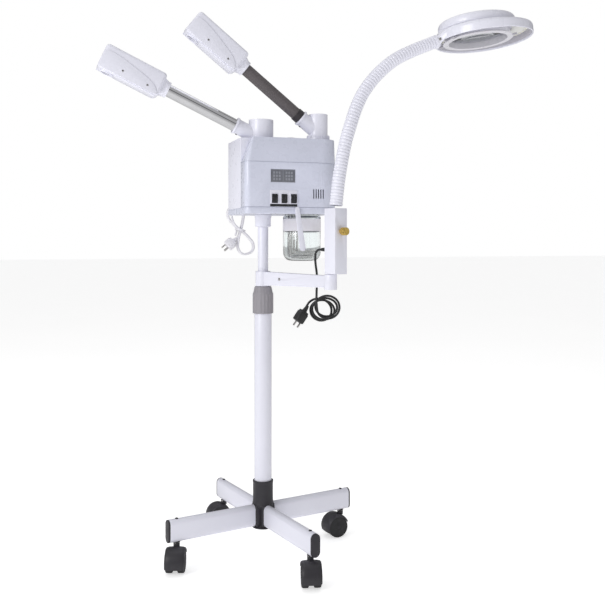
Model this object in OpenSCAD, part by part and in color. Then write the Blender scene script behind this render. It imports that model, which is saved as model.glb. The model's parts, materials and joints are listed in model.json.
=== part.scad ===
// Salon facial steamer: castor stand, telescopic column, hot and cold steam arms,
// glass water jar, and a gooseneck magnifier lamp on a swinging bracket.
// Millimetres. Origin on the floor on the column's axis, +Z up, -Y is the operating side.

/* [Base] */
// Radius from the column axis to a leg's outer end
leg_reach = 233; // [215:1:260]
// Height of a leg tube
leg_h = 50; // [44:1:54]
// Width of a leg tube
leg_w = 22; // [18:1:26]
// Height of the legs' centre line
leg_z = 87; // [86:1:92]
// Direction of the first leg
leg_turn = 12.5; // [0:0.5:20]
// Diameter of a castor wheel
wheel_d = 50; // [46:1:50]

/* [Column] */
// Outside diameter of the fixed column tube
column_d = 40; // [38:0.5:42]
// Outside diameter of the sliding pole
pole_d = 24; // [22:0.5:26]
// Top of the fixed column tube
column_top = 586; // [560:1:588]

/* [Lamp] */
// Distance from the column axis to the knuckle at the bracket arm's end
arm_reach = 234; // [225:1:245]
// Direction of the bracket arm
arm_turn = -68; // [-75:1:-60]
// Side of the square lamp post
post_side = 33; // [30:1:34]
// Outside diameter of the lamp head
lamp_d = 214; // [205:1:225]
// Upward tilt of the lamp head, away from the gooseneck
lamp_tilt = 5; // [0:1:8]
// Upward tilt of the lamp head's front edge
lamp_roll = 3; // [0:1:5]
// How far the lens sits off the lamp head's middle, towards the gooseneck
lens_off = 15; // [10:1:16]
// Clear diameter of the magnifier lens
lens_d = 127; // [120:1:130]

/* [Steamer body] */
// Left face of the steamer body
body_left = -65; // [-70:1:-60]
// Right face of the steamer body
body_right = 157; // [155:1:162]
// Front face of the steamer body
body_front = -95; // [-100:1:-90]
// Rear face of the steamer body
body_rear = 85; // [80:1:95]
// Underside of the steamer body
body_bottom = 779; // [775:1:785]
// Top of the steamer body
body_top = 950; // [945:1:955]
// Wall thickness of the mouldings
wall = 3; // [2.5:0.5:3]

/* [Water jar] */
// Outside diameter of the glass jar
jar_d = 88; // [84:1:90]
// Underside of the glass jar
jar_bottom = 672; // [668:1:680]

/* [Steam arms] */
// Outside diameter of a steam tube
tube_d = 28; // [26:0.5:28]
// Free length of a steam tube
tube_len = 167; // [150:1:180]
// Length of a nozzle head's box
head_len = 142; // [130:1:150]
// Height of a nozzle head
head_h = 56; // [50:1:58]
// Width of a nozzle head
head_w = 48; // [44:1:52]
// Clear diameter of a steam outlet
outlet_d = 22; // [18:1:24]
// Rise of the hot steam arm
hot_rise = 25; // [22:1:28]
// Rise of the cold steam arm
cold_rise = 38.5; // [35:0.5:41]

/* [Hidden] */
$fn = 64;
gap = 0.3;                       // clearance between pieces that move past each other
fit = 0.05;                      // radial clearance of a running fit
hub_bottom = 58;
hub_top = 166;
hub_r = 23;
castor_r = leg_reach - 20;       // distance from the column axis to a castor stem
leg_bottom = leg_z - leg_h / 2;
collar_bottom = 551;
collar_top = 613;
bracket_bottom = 614;
bracket_top = 648;
post_reach = arm_reach + 16;     // distance from the column axis to the square post
post_bottom = 649.3;
post_top = 786;
tray_top = body_bottom + 13;
cover_seam = body_bottom + 114;  // seam between the front cover and the upper cover
split_y = -50;                   // seam between the front covers and the rear shell
corner_r = 48;                   // large front corner on the right
small_r = 12;
jar_at = [92, -8];
hot_at = [-10, -20];
cold_at = [126, -26];
hot_mouth = [-71, -20, 980];
cold_mouth = [83, -26, 1003];
cap_at = [68, 8];
gland_z = 840;
neck_y = post_reach * sin(arm_turn);
// Pivots of the gooseneck, as x and z in the plane of its bend
neck = [[post_reach * cos(arm_turn), post_top], [104, 868], [123, 950], [158, 1034], [224, 1102],
        [318, 1148]];
ball_r = 8;
lens_curve = 240;                // radius of the lens's two faces
lamp_at = [442, neck_y, 1172];

// ---- shared shapes ----
module ring(r_out, r_in, h) {
    difference() {
        cylinder(r = r_out, h = h);
        translate([0, 0, -1]) cylinder(r = r_in, h = h + 2);
    }
}
module tube_along_x(r_out, r_in, x0, x1) {
    translate([x0, 0, 0]) rotate([0, 90, 0]) ring(r_out, r_in, x1 - x0);
}
// Rounded rectangle with one large front corner on the right
module body_outline(inset = 0, y0 = body_front, y1 = body_rear) {
    x0 = body_left + inset;
    x1 = body_right - inset;
    f = body_front + inset;
    b = body_rear - inset;
    r = small_r - min(inset, small_r - 2);
    big = corner_r - inset;
    intersection() {
        union() {
            translate([x0 + r, f]) square([x1 - big - x0 - r, b - f]);
            translate([x0, f + r]) square([x1 - x0 - big, b - f - 2 * r]);
            translate([x1 - big - 1, f + big]) square([big + 1 - r, b - f - big]);
            translate([x1 - big, f + big]) square([big, b - f - big - r]);
            for (p = [[x0 + r, f + r], [x0 + r, b - r], [x1 - r, b - r]]) translate(p) circle(r = r);
            translate([x1 - big, f + big]) circle(r = big);
        }
        translate([x0 - 1, y0]) square([x1 - x0 + 2, y1 - y0]);
    }
}
module at_leg(i) { rotate([0, 0, leg_turn + 90 * (i - 1)]) children(); }
module at_arm() { rotate([0, 0, arm_turn]) children(); }
module along_arm(mouth, rise) { translate(mouth) rotate([0, 0, 180]) rotate([0, -rise, 0]) children(); }
module in_lamp() { translate(lamp_at) rotate([-lamp_roll, -lamp_tilt, 0]) children(); }
module at_lens() { in_lamp() translate([-lens_off, 0, 0]) children(); }

// ---- stand ----
module base_hub() {
    color([0.22, 0.21, 0.24]) difference() {
        union() {
            translate([0, 0, 112]) cylinder(r = hub_r, h = hub_top - 112);
            translate([0, 0, hub_bottom]) cylinder(r = 15, h = 60);
            for (i = [1:4]) at_leg(i) translate([0, -13, leg_bottom + 1]) cube([25, 26, leg_h - 2]);
            for (i = [1:4]) at_leg(i) rotate([0, 0, 45]) translate([0, -4, hub_bottom + 3]) cube([25, 8, 52]);
            translate([0, 0, hub_bottom]) cylinder(r = 24, h = 3.5);
        }
        translate([0, 0, 110]) cylinder(d = column_d, h = 80);
    }
}
module leg_profile(inset = 0) {
    flat = leg_h - leg_w;
    translate([0, 0]) square([leg_w - 2 * inset, flat], center = true);
    for (s = [-1, 1]) translate([0, s * flat / 2]) circle(r = leg_w / 2 - inset);
}
module legs() {
    color("white") for (i = [1:4]) at_leg(i) difference() {
        translate([25, 0, leg_z]) rotate([90, 0, 90]) linear_extrude(leg_reach - 27) difference() {
            leg_profile();
            leg_profile(1.5);
        }
        translate([castor_r, 0, leg_bottom - 1]) cylinder(r = 5, h = 4);
        translate([castor_r, 0, leg_z + leg_h / 2 - 3]) cylinder(r = 3, h = 4);
    }
}
module leg_caps() {
    color([0.2, 0.2, 0.22]) for (i = [1:4]) at_leg(i) {
        translate([leg_reach - 2, 0, leg_z]) rotate([90, 0, 90]) linear_extrude(4) leg_profile(0.2);
        translate([leg_reach - 12, 0, leg_z]) rotate([90, 0, 90]) linear_extrude(10) leg_profile(1.6);
    }
}
// A twin-wheel castor in its own frame: stem on the Z axis, wheels trailing towards +X
castor_trail = 14;
castor_turns = [175, 80, 60, -26];
module at_castor(i) { at_leg(i) translate([castor_r, 0, 0]) rotate([0, 0, castor_turns[i - 1]]) children(); }
module castor_hood(i) {
    axle = [castor_trail, 0, wheel_d / 2];
    color([0.24, 0.23, 0.26]) at_castor(i) {
        translate([0, 0, wheel_d + 0.5]) cylinder(r = 7, h = leg_bottom - wheel_d - 0.5 - gap);
        translate([0, 0, wheel_d - 12]) cylinder(r = 5, h = 15);
        translate([0, 0, leg_bottom - gap - 1]) cylinder(r = 4.5, h = 22);
        intersection() {
            translate(axle) rotate([90, 0, 0]) difference() {
                translate([0, 0, -5]) cylinder(r = wheel_d / 2 + 2.5, h = 10);
                translate([0, 0, -6]) cylinder(r = 4, h = 12);
            }
            translate([-20, -10, 14]) cube([80, 20, 50]);
        }
        translate(axle) rotate([90, 0, 0]) translate([0, 0, -18]) cylinder(r = 4, h = 36);
    }
}
module castor_wheels(i) {
    color([0.16, 0.16, 0.18]) at_castor(i) translate([castor_trail, 0, wheel_d / 2]) rotate([90, 0, 0])
        for (s = [-1, 1]) translate([0, 0, s < 0 ? -20 : 5.6]) ring(wheel_d / 2, 4 + fit, 14.4);
}
module castor_hood_1() { castor_hood(1); }
module castor_hood_2() { castor_hood(2); }
module castor_hood_3() { castor_hood(3); }
module castor_hood_4() { castor_hood(4); }
module castor_wheels_1() { castor_wheels(1); }
module castor_wheels_2() { castor_wheels(2); }
module castor_wheels_3() { castor_wheels(3); }
module castor_wheels_4() { castor_wheels(4); }

// ---- column ----
module outer_column() {
    color("white") translate([0, 0, 110]) ring(column_d / 2, column_d / 2 - 1.5, column_top - 110);
}
module column_bush() {
    color([0.85, 0.85, 0.85]) translate([0, 0, column_top - 60]) ring(column_d / 2 - 1.5, pole_d / 2 + fit, 60);
    color([0.85, 0.85, 0.85]) translate([0, 0, column_top]) ring(column_d / 2 - 0.5, pole_d / 2 + fit, 3);
}
module clamp_collar() {
    color([0.63, 0.62, 0.65]) difference() {
        union() {
            rotate_extrude() polygon([[0, collar_bottom], [23, collar_bottom], [23, 596], [19, collar_top],
                                      [0, collar_top]]);
            for (a = [0:20:340]) rotate([0, 0, a]) translate([21.6, -1.5, collar_bottom + 2]) cube([2.2, 3, 42]);
        }
        translate([0, 0, collar_bottom - 1]) cylinder(d = column_d + 2 * fit, h = column_top - collar_bottom + 5);
        translate([0, 0, collar_bottom]) cylinder(r = pole_d / 2 + 0.5, h = 80);
    }
}
module inner_column() {
    color([0.95, 0.94, 0.98]) translate([0, 0, 420]) ring(pole_d / 2, pole_d / 2 - 1.5, body_bottom - 420);
}

// ---- lamp bracket and post ----
module lamp_bracket() {
    color("white") at_arm() difference() {
        union() {
            translate([0, 0, bracket_bottom]) cylinder(r = 17.5, h = bracket_top - bracket_bottom);
            translate([0, 9, 0]) rotate([90, 0, 0]) linear_extrude(18)
                polygon([[12, 616], [arm_reach, 620], [arm_reach, 645], [12, 647]]);
            translate([arm_reach, 0, 616]) cylinder(r = 13.5, h = 32);
        }
        translate([0, 0, bracket_bottom - 1]) cylinder(r = pole_d / 2 + fit, h = 50);
        translate([arm_reach, 0, 618]) cylinder(r = 9 + fit, h = 40);
        translate([72, 20, 632]) rotate([90, 0, 0]) cylinder(r = 2.6, h = 40);
    }
}
module bracket_screw() {
    color("silver") at_arm() translate([72, 9, 632]) rotate([90, 0, 0]) cylinder(r = 2.5, h = 18);
}
module lamp_post() {
    half = post_side / 2;
    color([0.9, 0.89, 0.93]) at_arm() difference() {
        union() {
            translate([post_reach - half, -half, post_bottom]) cube([post_side, post_side, post_top - post_bottom]);
            translate([arm_reach, 0, 620]) cylinder(r = 9, h = post_bottom - 618);
        }
        translate([post_reach + 2 - half, 2 - half, post_bottom + 3])
            cube([post_side - 4, post_side - 4, post_top - post_bottom - 8]);
        translate([post_reach - half - 1, 0, 700]) rotate([0, 90, 0]) cylinder(r = 4 + fit, h = 10);
        translate([post_reach, 0, post_top - 10]) cylinder(r = 10.5, h = 20);
        translate([post_reach + half - 5, 0, 738]) rotate([0, 90, 0]) cylinder(r = 3 + fit, h = 10);
    }
}
module clamp_knob() {
    half = post_side / 2;
    color([0.78, 0.64, 0.25]) at_arm() translate([post_reach + half + gap, 0, 738]) rotate([0, 90, 0]) {
        translate([0, 0, -8]) cylinder(r = 3, h = 10);
        cylinder(r = 5, h = 4);
        translate([0, 0, 4]) difference() {
            cylinder(r = 8, h = 14);
            for (a = [0:30:330]) rotate([0, 0, a]) translate([8.4, 0, -1]) cylinder(r = 1, h = 16);
        }
    }
}

// ---- gooseneck: a base and four links on ball ends, bending in one plane ----
function rise(i) = atan2(neck[i + 1][1] - neck[i][1], neck[i + 1][0] - neck[i][0]);
function span(i) = norm(neck[i + 1] - neck[i]);
module along_neck(i) {
    translate([neck[i][0], neck_y, neck[i][1]]) rotate([0, 90 - rise(i), 0]) children();
}
// One link runs from its own ball to a cup that holds the next link's ball
module neck_link(i, start) {
    color([0.9, 0.9, 0.95]) along_neck(i) difference() {
        union() {
            if (start > 0) {
                sphere(r = ball_r);
                cylinder(r = 5, h = 14);
            }
            translate([0, 0, start]) cylinder(r = 13, h = span(i) - start);
        }
        translate([0, 0, span(i)]) sphere(r = ball_r + gap);
        translate([0, 0, start - 1]) cylinder(r = 3, h = span(i) - start);
    }
}
module gooseneck_base() {
    neck_link(0, 2.5);
    color([0.9, 0.9, 0.95]) translate([neck[0][0], neck_y, post_top - 9]) ring(10, 3, 13);
}
module gooseneck_link_1() { neck_link(1, 12); }
module gooseneck_link_2() { neck_link(2, 12); }
module gooseneck_link_3() { neck_link(3, 12); }
module gooseneck_link_4() { neck_link(4, 12); }

// ---- lamp head ----
module lamp_yoke() {
    color("white") {
        translate([neck[5][0], neck_y, neck[5][1]]) rotate([0, 78, 0]) {
            sphere(r = ball_r);
            cylinder(r = 5, h = 18);
        }
        in_lamp() difference() {
            hull() {
                translate([-111, 0, -8]) rotate([0, 90, 0]) cylinder(r = 9, h = 2, $fn = 32);
                translate([-lamp_d / 2 + 1.5, -26, -9]) cube([2, 52, 18]);
            }
            translate([0, 0, -20]) cylinder(d = lamp_d + 0.4, h = 40, $fn = 128);
        }
    }
}
module lamp_housing() {
    r = lamp_d / 2;
    color([0.93, 0.92, 0.97]) in_lamp() difference() {
        union() {
            rotate_extrude() polygon([[0, 7.5], [r - 2.5, 7.5], [r - 2.5, -10], [r, -10], [r, 6],
                                      [r - 4, 10], [84, 12], [0, 12]]);
            translate([-lens_off, 0, -9]) cylinder(r = 70.5, h = 20);
            translate([-lens_off, 0, 9]) cylinder(r = 82, h = 5);
        }
        translate([-lens_off, 0, -20]) cylinder(r = 68, h = 60);
    }
}
module magnifier_lens() {
    color([0.8, 0.85, 0.9, 0.4]) at_lens() rotate_extrude() intersection() {
        translate([0, 11 - lens_curve]) circle(r = lens_curve, $fn = 360);
        translate([0, lens_curve - 7]) circle(r = lens_curve, $fn = 360);
        translate([0, -10]) square([lens_d / 2 - 0.2, 30]);
    }
}
module lens_ring() {
    r = lens_d / 2;
    color([0.85, 0.84, 0.88]) at_lens() {
        rotate_extrude() polygon([[r, -12], [76, -12], [76, -9], [67.5, -9], [67.5, 3], [r, 3]]);
        for (a = [20, 140, 200, 320]) rotate([0, 0, a]) translate([72, -5, -11.4]) cube([12, 10, 1.8]);
    }
}
module led_board() {
    color("white") in_lamp() difference() {
        translate([0, 0, 5.8]) cylinder(r = 100, h = 1.6);
        translate([-lens_off, 0, 0]) cylinder(r = 71.5, h = 20);
    }
}
// Tall domed lid over the lens
module lens_lid() {
    color([0.93, 0.92, 0.97]) at_lens() rotate_extrude() polygon([
        [84, 14.4], [84, 26], [81, 31.5], [74, 35.5], [45, 38.6], [0, 40], [0, 37], [45, 35.6],
        [73, 32.6], [78.5, 29.5], [81, 25], [81, 14.4]]);
}

// ---- steamer body ----
module pole_socket() {
    color("white") translate([0, 0, 751]) difference() {
        cylinder(r = 18, h = body_bottom - 751);
        translate([0, 0, -1]) cylinder(r = pole_d / 2 + fit, h = 40);
    }
}
module base_tray() {
    color([0.84, 0.86, 0.93]) difference() {
        union() {
            difference() {
                translate([0, 0, body_bottom]) linear_extrude(tray_top - body_bottom) body_outline();
                translate([0, 0, body_bottom + 4]) linear_extrude(20) body_outline(wall);
            }
            translate([jar_at[0], jar_at[1], body_bottom]) cylinder(r = 46, h = 14);
        }
        translate([jar_at[0], jar_at[1], 770]) cylinder(r = 42, h = 30);
        translate([lever_at[0], body_front - 5, lever_at[2]]) rotate([-90, 0, 0]) cylinder(r = 2 + fit, h = 20);
        for (x = [-35:12:37]) translate([x, 50, 770]) cube([5, 20, 30]);
    }
}
module shell_wall(y0, y1, z0, z1) {
    translate([0, 0, z0]) linear_extrude(z1 - z0) difference() {
        body_outline(0, y0, y1);
        body_outline(wall, y0 - 1, y1 + 1);
    }
}
module rear_shell() {
    color("white") difference() {
        union() {
            shell_wall(split_y, body_rear, tray_top, body_top);
            translate([0, 0, body_top - wall]) linear_extrude(wall) body_outline(0, split_y, body_rear);
        }
        for (p = [hot_at, cold_at]) translate([p[0], p[1], body_top - 10]) cylinder(r = 16 + fit, h = 20);
        translate([cap_at[0], cap_at[1], body_top - 10]) cylinder(r = 20.3, h = 20);
        translate([-45, body_rear - 10, gland_z]) rotate([-90, 0, 0]) cylinder(r = 6, h = 20);
        for (x = [60:10:110]) translate([x, body_rear - 10, 820]) cube([4, 20, 50]);
    }
}
module front_cover() {
    color([0.84, 0.86, 0.93]) difference() {
        shell_wall(body_front, split_y, tray_top, cover_seam);
        translate([-8, body_front - 5, 848]) cube([57, 20, 29]);
        translate([-10, body_front - 5, 794]) cube([63, 20, 37]);
        for (i = [0:4]) translate([91 + 5.6 * i, body_front - 5, 813]) cube([2.6, 30, 21]);
    }
}
// Tapered upper front cover: it leans in towards its top
module upper_block(inset) {
    hull() {
        translate([0, 0, cover_seam]) linear_extrude(1) body_outline(inset, body_front, split_y);
        translate([0, 0, body_top - 1 - inset]) linear_extrude(1) intersection() {
            translate([12, 10]) body_outline(inset + 10, body_front, split_y);
            translate([-200, body_front]) square([400, split_y - body_front]);
        }
    }
}
module upper_cover() {
    color([0.84, 0.86, 0.93]) difference() {
        upper_block(0);
        translate([0, 1, -0.5]) upper_block(wall);
    }
}
module display_window() {
    color([0.35, 0.36, 0.4]) translate([-8, body_front, 848]) difference() {
        translate([0, 1, 0]) cube([57, 6, 29]);
        translate([27, 0, 3]) cube([3, 2, 23]);
    }
}
rocker_x = [1, 23, 45];
rocker_z = 812;
module switch_panel() {
    color("white") difference() {
        translate([-10, body_front - 0.5, 794]) cube([63, 6, 37]);
        for (x = rocker_x) translate([x - 6.8, body_front - 5, rocker_z - 10.3]) cube([13.6, 20, 20.6]);
    }
}
module rocker(i) {
    color([0.12, 0.12, 0.13]) translate([rocker_x[i - 1], body_front + 3, rocker_z]) rotate([0, 90, 0])
        intersection() {
            translate([0, 0, -6.5]) cylinder(r = 10, h = 13);
            translate([-10, -6.5, -6.5]) cube([20, 9, 13]);
        }
}
module rocker_1() { rocker(1); }
module rocker_2() { rocker(2); }
module rocker_3() { rocker(3); }
module control_board() {
    color([0.1, 0.4, 0.2]) translate([-40, -72, 800]) cube([110, 1.6, 90]);
    color([0.15, 0.15, 0.15]) for (i = [0:3]) translate([-30 + 24 * i, -70.4, 850]) cube([14, 18, 16]);
}
module cold_steam_tank() {
    color([0.9, 0.9, 0.9]) translate([cap_at[0], 52, 800]) difference() {
        translate([-60, -22, 0]) cube([120, 50, 120]);
        translate([-57, -19, 3]) cube([114, 44, 114]);
    }
}

// ---- heater and jar ----
module heater_element() {
    r = 2.6;
    color([0.7, 0.69, 0.7]) translate([jar_at[0], jar_at[1], 0]) {
        translate([0, 0, body_bottom + 14]) cylinder(r = 45, h = 5);
        for (i = [0:2], s = [-1, 1]) {
            half = 10 + 2 * i;
            x = -30 + 7 * i;
            z = 680 + 7.5 * i;
            translate([x, s * half, z]) cylinder(r = r, h = body_bottom + 15 - z);
            translate([x, s * half, z]) sphere(r = r);
            translate([x, s * half, z]) rotate([0, 90, 0]) cylinder(r = r, h = 18 - x);
            translate([18, 0, z]) rotate([0, 0, -90]) rotate_extrude(angle = 180) translate([half, 0]) circle(r = r);
        }
    }
}
module water_jar() {
    R = jar_d / 2;
    top = body_bottom - 1;
    color([0.85, 0.9, 0.9, 0.35]) translate([jar_at[0], jar_at[1], 0]) rotate_extrude() difference() {
        union() {
            translate([0, jar_bottom]) square([R - 14, 14]);
            translate([0, jar_bottom + 14]) square([R, top - jar_bottom - 14]);
            translate([R - 14, jar_bottom + 14]) circle(r = 14);
            translate([0, top - 0.5]) square([40, 11]);
        }
        translate([-60, 0]) square([60, 900]);
        union() {
            translate([0, jar_bottom + 3]) square([R - 14, 12]);
            translate([0, jar_bottom + 14]) square([R - 3, top - jar_bottom - 17]);
            translate([R - 14, jar_bottom + 14]) circle(r = 11);
            translate([0, top - 4]) square([37, 30]);
        }
    }
}
lever_at = [52, body_front - 2.5, 789];
module jar_lever() {
    color("white") translate(lever_at) rotate([90, -8.5, 0]) {
        translate([0, 0, -2]) linear_extrude(4) hull() {
            circle(r = 5);
            translate([0, -88]) circle(r = 6.5);
        }
        translate([0, 0, -8]) cylinder(r = 2, h = 7);
    }
}
module filler_cap() {
    color("white") translate([cap_at[0], cap_at[1], 0]) {
        translate([0, 0, body_top - 8]) cylinder(r = 20, h = 9);
        translate([0, 0, body_top + gap]) cylinder(r = 27, h = 5);
        translate([0, 0, body_top + 5]) intersection() {
            translate([0, 0, -56]) sphere(r = 62);
            cylinder(r = 22, h = 12);
        }
    }
}

// ---- steam arms ----
module turret(at, r, top, mouth, rise, foot) {
    color("white") difference() {
        union() {
            translate([at[0], at[1], body_top + gap]) cylinder(r = r, h = top - body_top - gap);
            translate([at[0], at[1], body_top + gap]) cylinder(r = foot, h = 5.5);
            translate([at[0], at[1], body_top - 8]) cylinder(r = 16, h = 12);
            difference() {
                along_arm(mouth, rise) union() {
                    translate([-48, 0, 0]) rotate([0, 90, 0]) cylinder(r = 17, h = 48);
                    translate([-4, 0, 0]) rotate([0, 90, 0]) cylinder(r = 18.5, h = 4);
                }
                translate([-400, -200, body_top + gap - 100]) cube([800, 400, 100]);
            }
        }
        translate([at[0], at[1], body_top - 20]) cylinder(r = 11, h = 50);
        along_arm(mouth, rise) translate([-20, 0, 0]) rotate([0, 90, 0]) cylinder(r = tube_d / 2 + fit, h = 30);
        along_arm(mouth, rise) translate([-44, 0, 0]) rotate([0, 90, 0]) cylinder(r = 10, h = 60);
    }
}
module hot_turret() { turret(hot_at, 28, 994, hot_mouth, hot_rise, 28); }
module cold_turret() { turret(cold_at, 22, 1012, cold_mouth, cold_rise, 26); }
module steam_tube() { tube_along_x(tube_d / 2, tube_d / 2 - 1.5, -19.5, tube_len + 16); }
module hot_tube() { color([0.8, 0.8, 0.82]) along_arm(hot_mouth, hot_rise) steam_tube(); }
module cold_tube() {
    color([0.4, 0.38, 0.39]) along_arm(cold_mouth, cold_rise) {
        steam_tube();
        tube_along_x(tube_d / 2 + 1.6, tube_d / 2, 0.3, 15);
    }
}
// Box of a nozzle head: rounded, with a tapered neck towards the tube
module head_block(inset) {
    r = 8 - inset;
    x0 = tube_len + 16 + 8;
    x1 = tube_len + 16 + head_len - 8;
    hull() for (x = [x0, x1], y = [-1, 1], z = [-1, 1])
        translate([x, y * (head_w / 2 - 8), z * (head_h / 2 - 8)]) sphere(r = r, $fn = 24);
}
module nozzle_head() {
    out_x = tube_len + head_len - 8;
    difference() {
        union() {
            head_block(0);
            hull() {
                translate([tube_len + 2, 0, 0]) rotate([0, 90, 0]) cylinder(r = 16.5, h = 14, $fn = 32);
                translate([tube_len + 22, -17, -20]) cube([3, 34, 40]);
            }
            translate([tube_len + gap, 0, 0]) rotate([0, 90, 0]) cylinder(r = 17.5, h = 6);
        }
        difference() {
            head_block(2.5);
            translate([out_x, 0, -40]) cylinder(r = outlet_d / 2 + 2.5, h = 24);
        }
        translate([tube_len - 10, 0, 0]) rotate([0, 90, 0]) cylinder(r = tube_d / 2 + fit, h = 30);
        translate([out_x, 0, -40]) cylinder(r = outlet_d / 2, h = 30);
    }
}
module hot_head() { color("white") along_arm(hot_mouth, hot_rise) nozzle_head(); }
module cold_head() { color("white") along_arm(cold_mouth, cold_rise) nozzle_head(); }

// ---- cords ----
white_d = 5;
black_d = 5;
white_route = [[-45, 104, 840], [-45, 112, 839], [-45, 119, 835], [-45, 123, 828], [-45, 123, 818],
               [-45, 121, 809], [-45, 119, 799]];
black_route = [[77, -191, 700], [73, -181, 699], [71, -172, 694], [72, -164, 684], [75, -157, 668],
               [79, -153, 648], [80, -152, 628], [79, -152, 601]];
hank_z = 800;                    // top of the white cord's hank
// A tube swept along a route: one eight-sided ring per point, square to the route there
function unit(v) = v / norm(v);
function tangent(p, i) = unit(p[min(i + 1, len(p) - 1)] - p[max(i - 1, 0)]);
function ring_points(p, i, r, side) =
    let (t = tangent(p, i), a = unit(cross(t, side)), b = cross(t, a))
    [for (k = [0:7]) p[i] + r * (a * cos(45 * k) + b * sin(45 * k))];
module cord_tube(p, d, side) {
    n = len(p);
    rings = [for (i = [0:n - 1]) each ring_points(p, i, d / 2, side)];
    sides = [for (i = [0:n - 2], k = [0:7]) [8 * i + k, 8 * i + (k + 1) % 8, 8 * i + 8 + (k + 1) % 8, 8 * i + 8 + k]];
    ends = [[for (k = [7:-1:0]) k], [for (k = [0:7]) 8 * (n - 1) + k]];
    polyhedron(rings, concat(sides, ends));
}
module white_cord_gland() {
    color("white") translate([-45, body_rear - wall - 2, gland_z]) rotate([-90, 0, 0]) {
        cylinder(r = 5.9, h = 8);
        translate([0, 0, wall + 2]) cylinder(r1 = 7.5, r2 = 4, h = 19);
    }
}
module white_cord() { color("white") cord_tube(white_route, white_d, [1, 0, 0]); }
module hank_outline(p) {
    hull() for (q = [p[0], p[1]]) translate([q[0], q[1]]) circle(r = q[2], $fn = 32);
    hull() for (q = [p[1], p[2]]) translate([q[0], q[1]]) circle(r = q[2], $fn = 32);
}
module white_cord_hank() {
    color("white") translate([0, 126, 0]) rotate([90, 0, 0]) linear_extrude(14) difference() {
        hank_outline([[-45, 810, 17], [-24, 744, 8], [-3, 684, 20]]);
        translate([-80, hank_z]) square([100, 80]);
    }
}
module white_plug() {
    color("white") translate([-58, 119, 704]) rotate([0, 50, 0]) {
        translate([-12, -9, 0]) cube([24, 18, 20]);
        translate([0, 0, 19]) cylinder(r1 = 7, r2 = 4, h = 16);
        for (x = [-5, 5]) translate([x - 1, -4, -14]) cube([2, 8, 15]);
    }
}
module black_cord_gland() {
    color([0.1, 0.1, 0.1]) at_arm() translate([post_reach - post_side / 2 + 3, 0, 700]) rotate([0, -90, 0]) {
        cylinder(r = 4, h = 4);
        translate([0, 0, 3.05]) cylinder(r1 = 6, r2 = 3.5, h = 28);
    }
}
module black_cord() { color([0.1, 0.1, 0.1]) cord_tube(black_route, black_d, [0.93, 0.37, 0]); }
module black_cord_hank() {
    color([0.1, 0.1, 0.1]) translate([88, -156, 574]) rotate([0, 0, -18]) rotate([90, 0, 0])
        translate([0, 0, -13]) linear_extrude(26) circle(r = 30);
}
module black_plug() {
    color([0.1, 0.1, 0.1]) translate([50, -146, 562]) rotate([0, 35, 0]) {
        translate([-11, -9, -22]) cube([22, 18, 24]);
        translate([0, 0, 1]) cylinder(r1 = 7, r2 = 4, h = 16);
        for (x = [-5, 5]) translate([x - 1, -3, -34]) cube([2, 6, 13]);
    }
}

base_hub();
legs();
leg_caps();
outer_column();
column_bush();
castor_hood_1();
castor_hood_2();
castor_hood_3();
castor_hood_4();
castor_wheels_1();
castor_wheels_2();
castor_wheels_3();
castor_wheels_4();
clamp_collar();
inner_column();
lamp_bracket();
bracket_screw();
lamp_post();
clamp_knob();
gooseneck_base();
gooseneck_link_1();
gooseneck_link_2();
gooseneck_link_3();
gooseneck_link_4();
lamp_yoke();
lamp_housing();
lens_ring();
magnifier_lens();
led_board();
lens_lid();
pole_socket();
base_tray();
rear_shell();
front_cover();
upper_cover();
display_window();
switch_panel();
rocker_1();
rocker_2();
rocker_3();
control_board();
heater_element();
cold_steam_tank();
water_jar();
jar_lever();
filler_cap();
hot_turret();
hot_tube();
hot_head();
cold_turret();
cold_tube();
cold_head();
white_cord_gland();
white_cord();
white_cord_hank();
white_plug();
black_cord_gland();
black_cord();
black_cord_hank();
black_plug();
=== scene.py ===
"""Looks of a salon facial steamer with a magnifier lamp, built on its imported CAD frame."""
import json
import math

import bmesh
import bpy
from mathutils import Matrix, Vector


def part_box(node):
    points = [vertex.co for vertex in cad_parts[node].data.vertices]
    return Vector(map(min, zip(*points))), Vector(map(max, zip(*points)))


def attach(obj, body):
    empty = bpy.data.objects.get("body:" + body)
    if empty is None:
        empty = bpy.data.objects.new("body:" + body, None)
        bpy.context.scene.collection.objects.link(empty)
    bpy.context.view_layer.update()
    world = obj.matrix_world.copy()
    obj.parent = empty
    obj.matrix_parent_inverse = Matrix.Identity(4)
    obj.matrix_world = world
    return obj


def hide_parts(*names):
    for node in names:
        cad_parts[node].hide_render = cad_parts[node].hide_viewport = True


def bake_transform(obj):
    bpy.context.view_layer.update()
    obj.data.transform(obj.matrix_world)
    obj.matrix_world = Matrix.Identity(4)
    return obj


bl_info = {
    "name": "Facial steamer",
    "version": (1, 0, 0),
    "blender": (4, 5, 0),
    "location": "View3D > Sidebar > Steamer",
    "description": "Models the looks of a salon facial steamer on its frame",
    "category": "Object",
}

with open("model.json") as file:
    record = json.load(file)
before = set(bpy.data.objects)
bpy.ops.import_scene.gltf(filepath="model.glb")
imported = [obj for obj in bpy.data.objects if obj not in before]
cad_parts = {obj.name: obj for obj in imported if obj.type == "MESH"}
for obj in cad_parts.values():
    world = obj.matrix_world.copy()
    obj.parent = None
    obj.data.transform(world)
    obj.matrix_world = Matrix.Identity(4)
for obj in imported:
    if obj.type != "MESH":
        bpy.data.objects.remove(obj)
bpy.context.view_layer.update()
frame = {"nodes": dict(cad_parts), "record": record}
RECORD = frame["record"]
JOINTS = {joint["name"]: joint for joint in RECORD["behaviour"]["joints"]}
UP = Vector((0.0, 0.0, 1.0))


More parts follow.
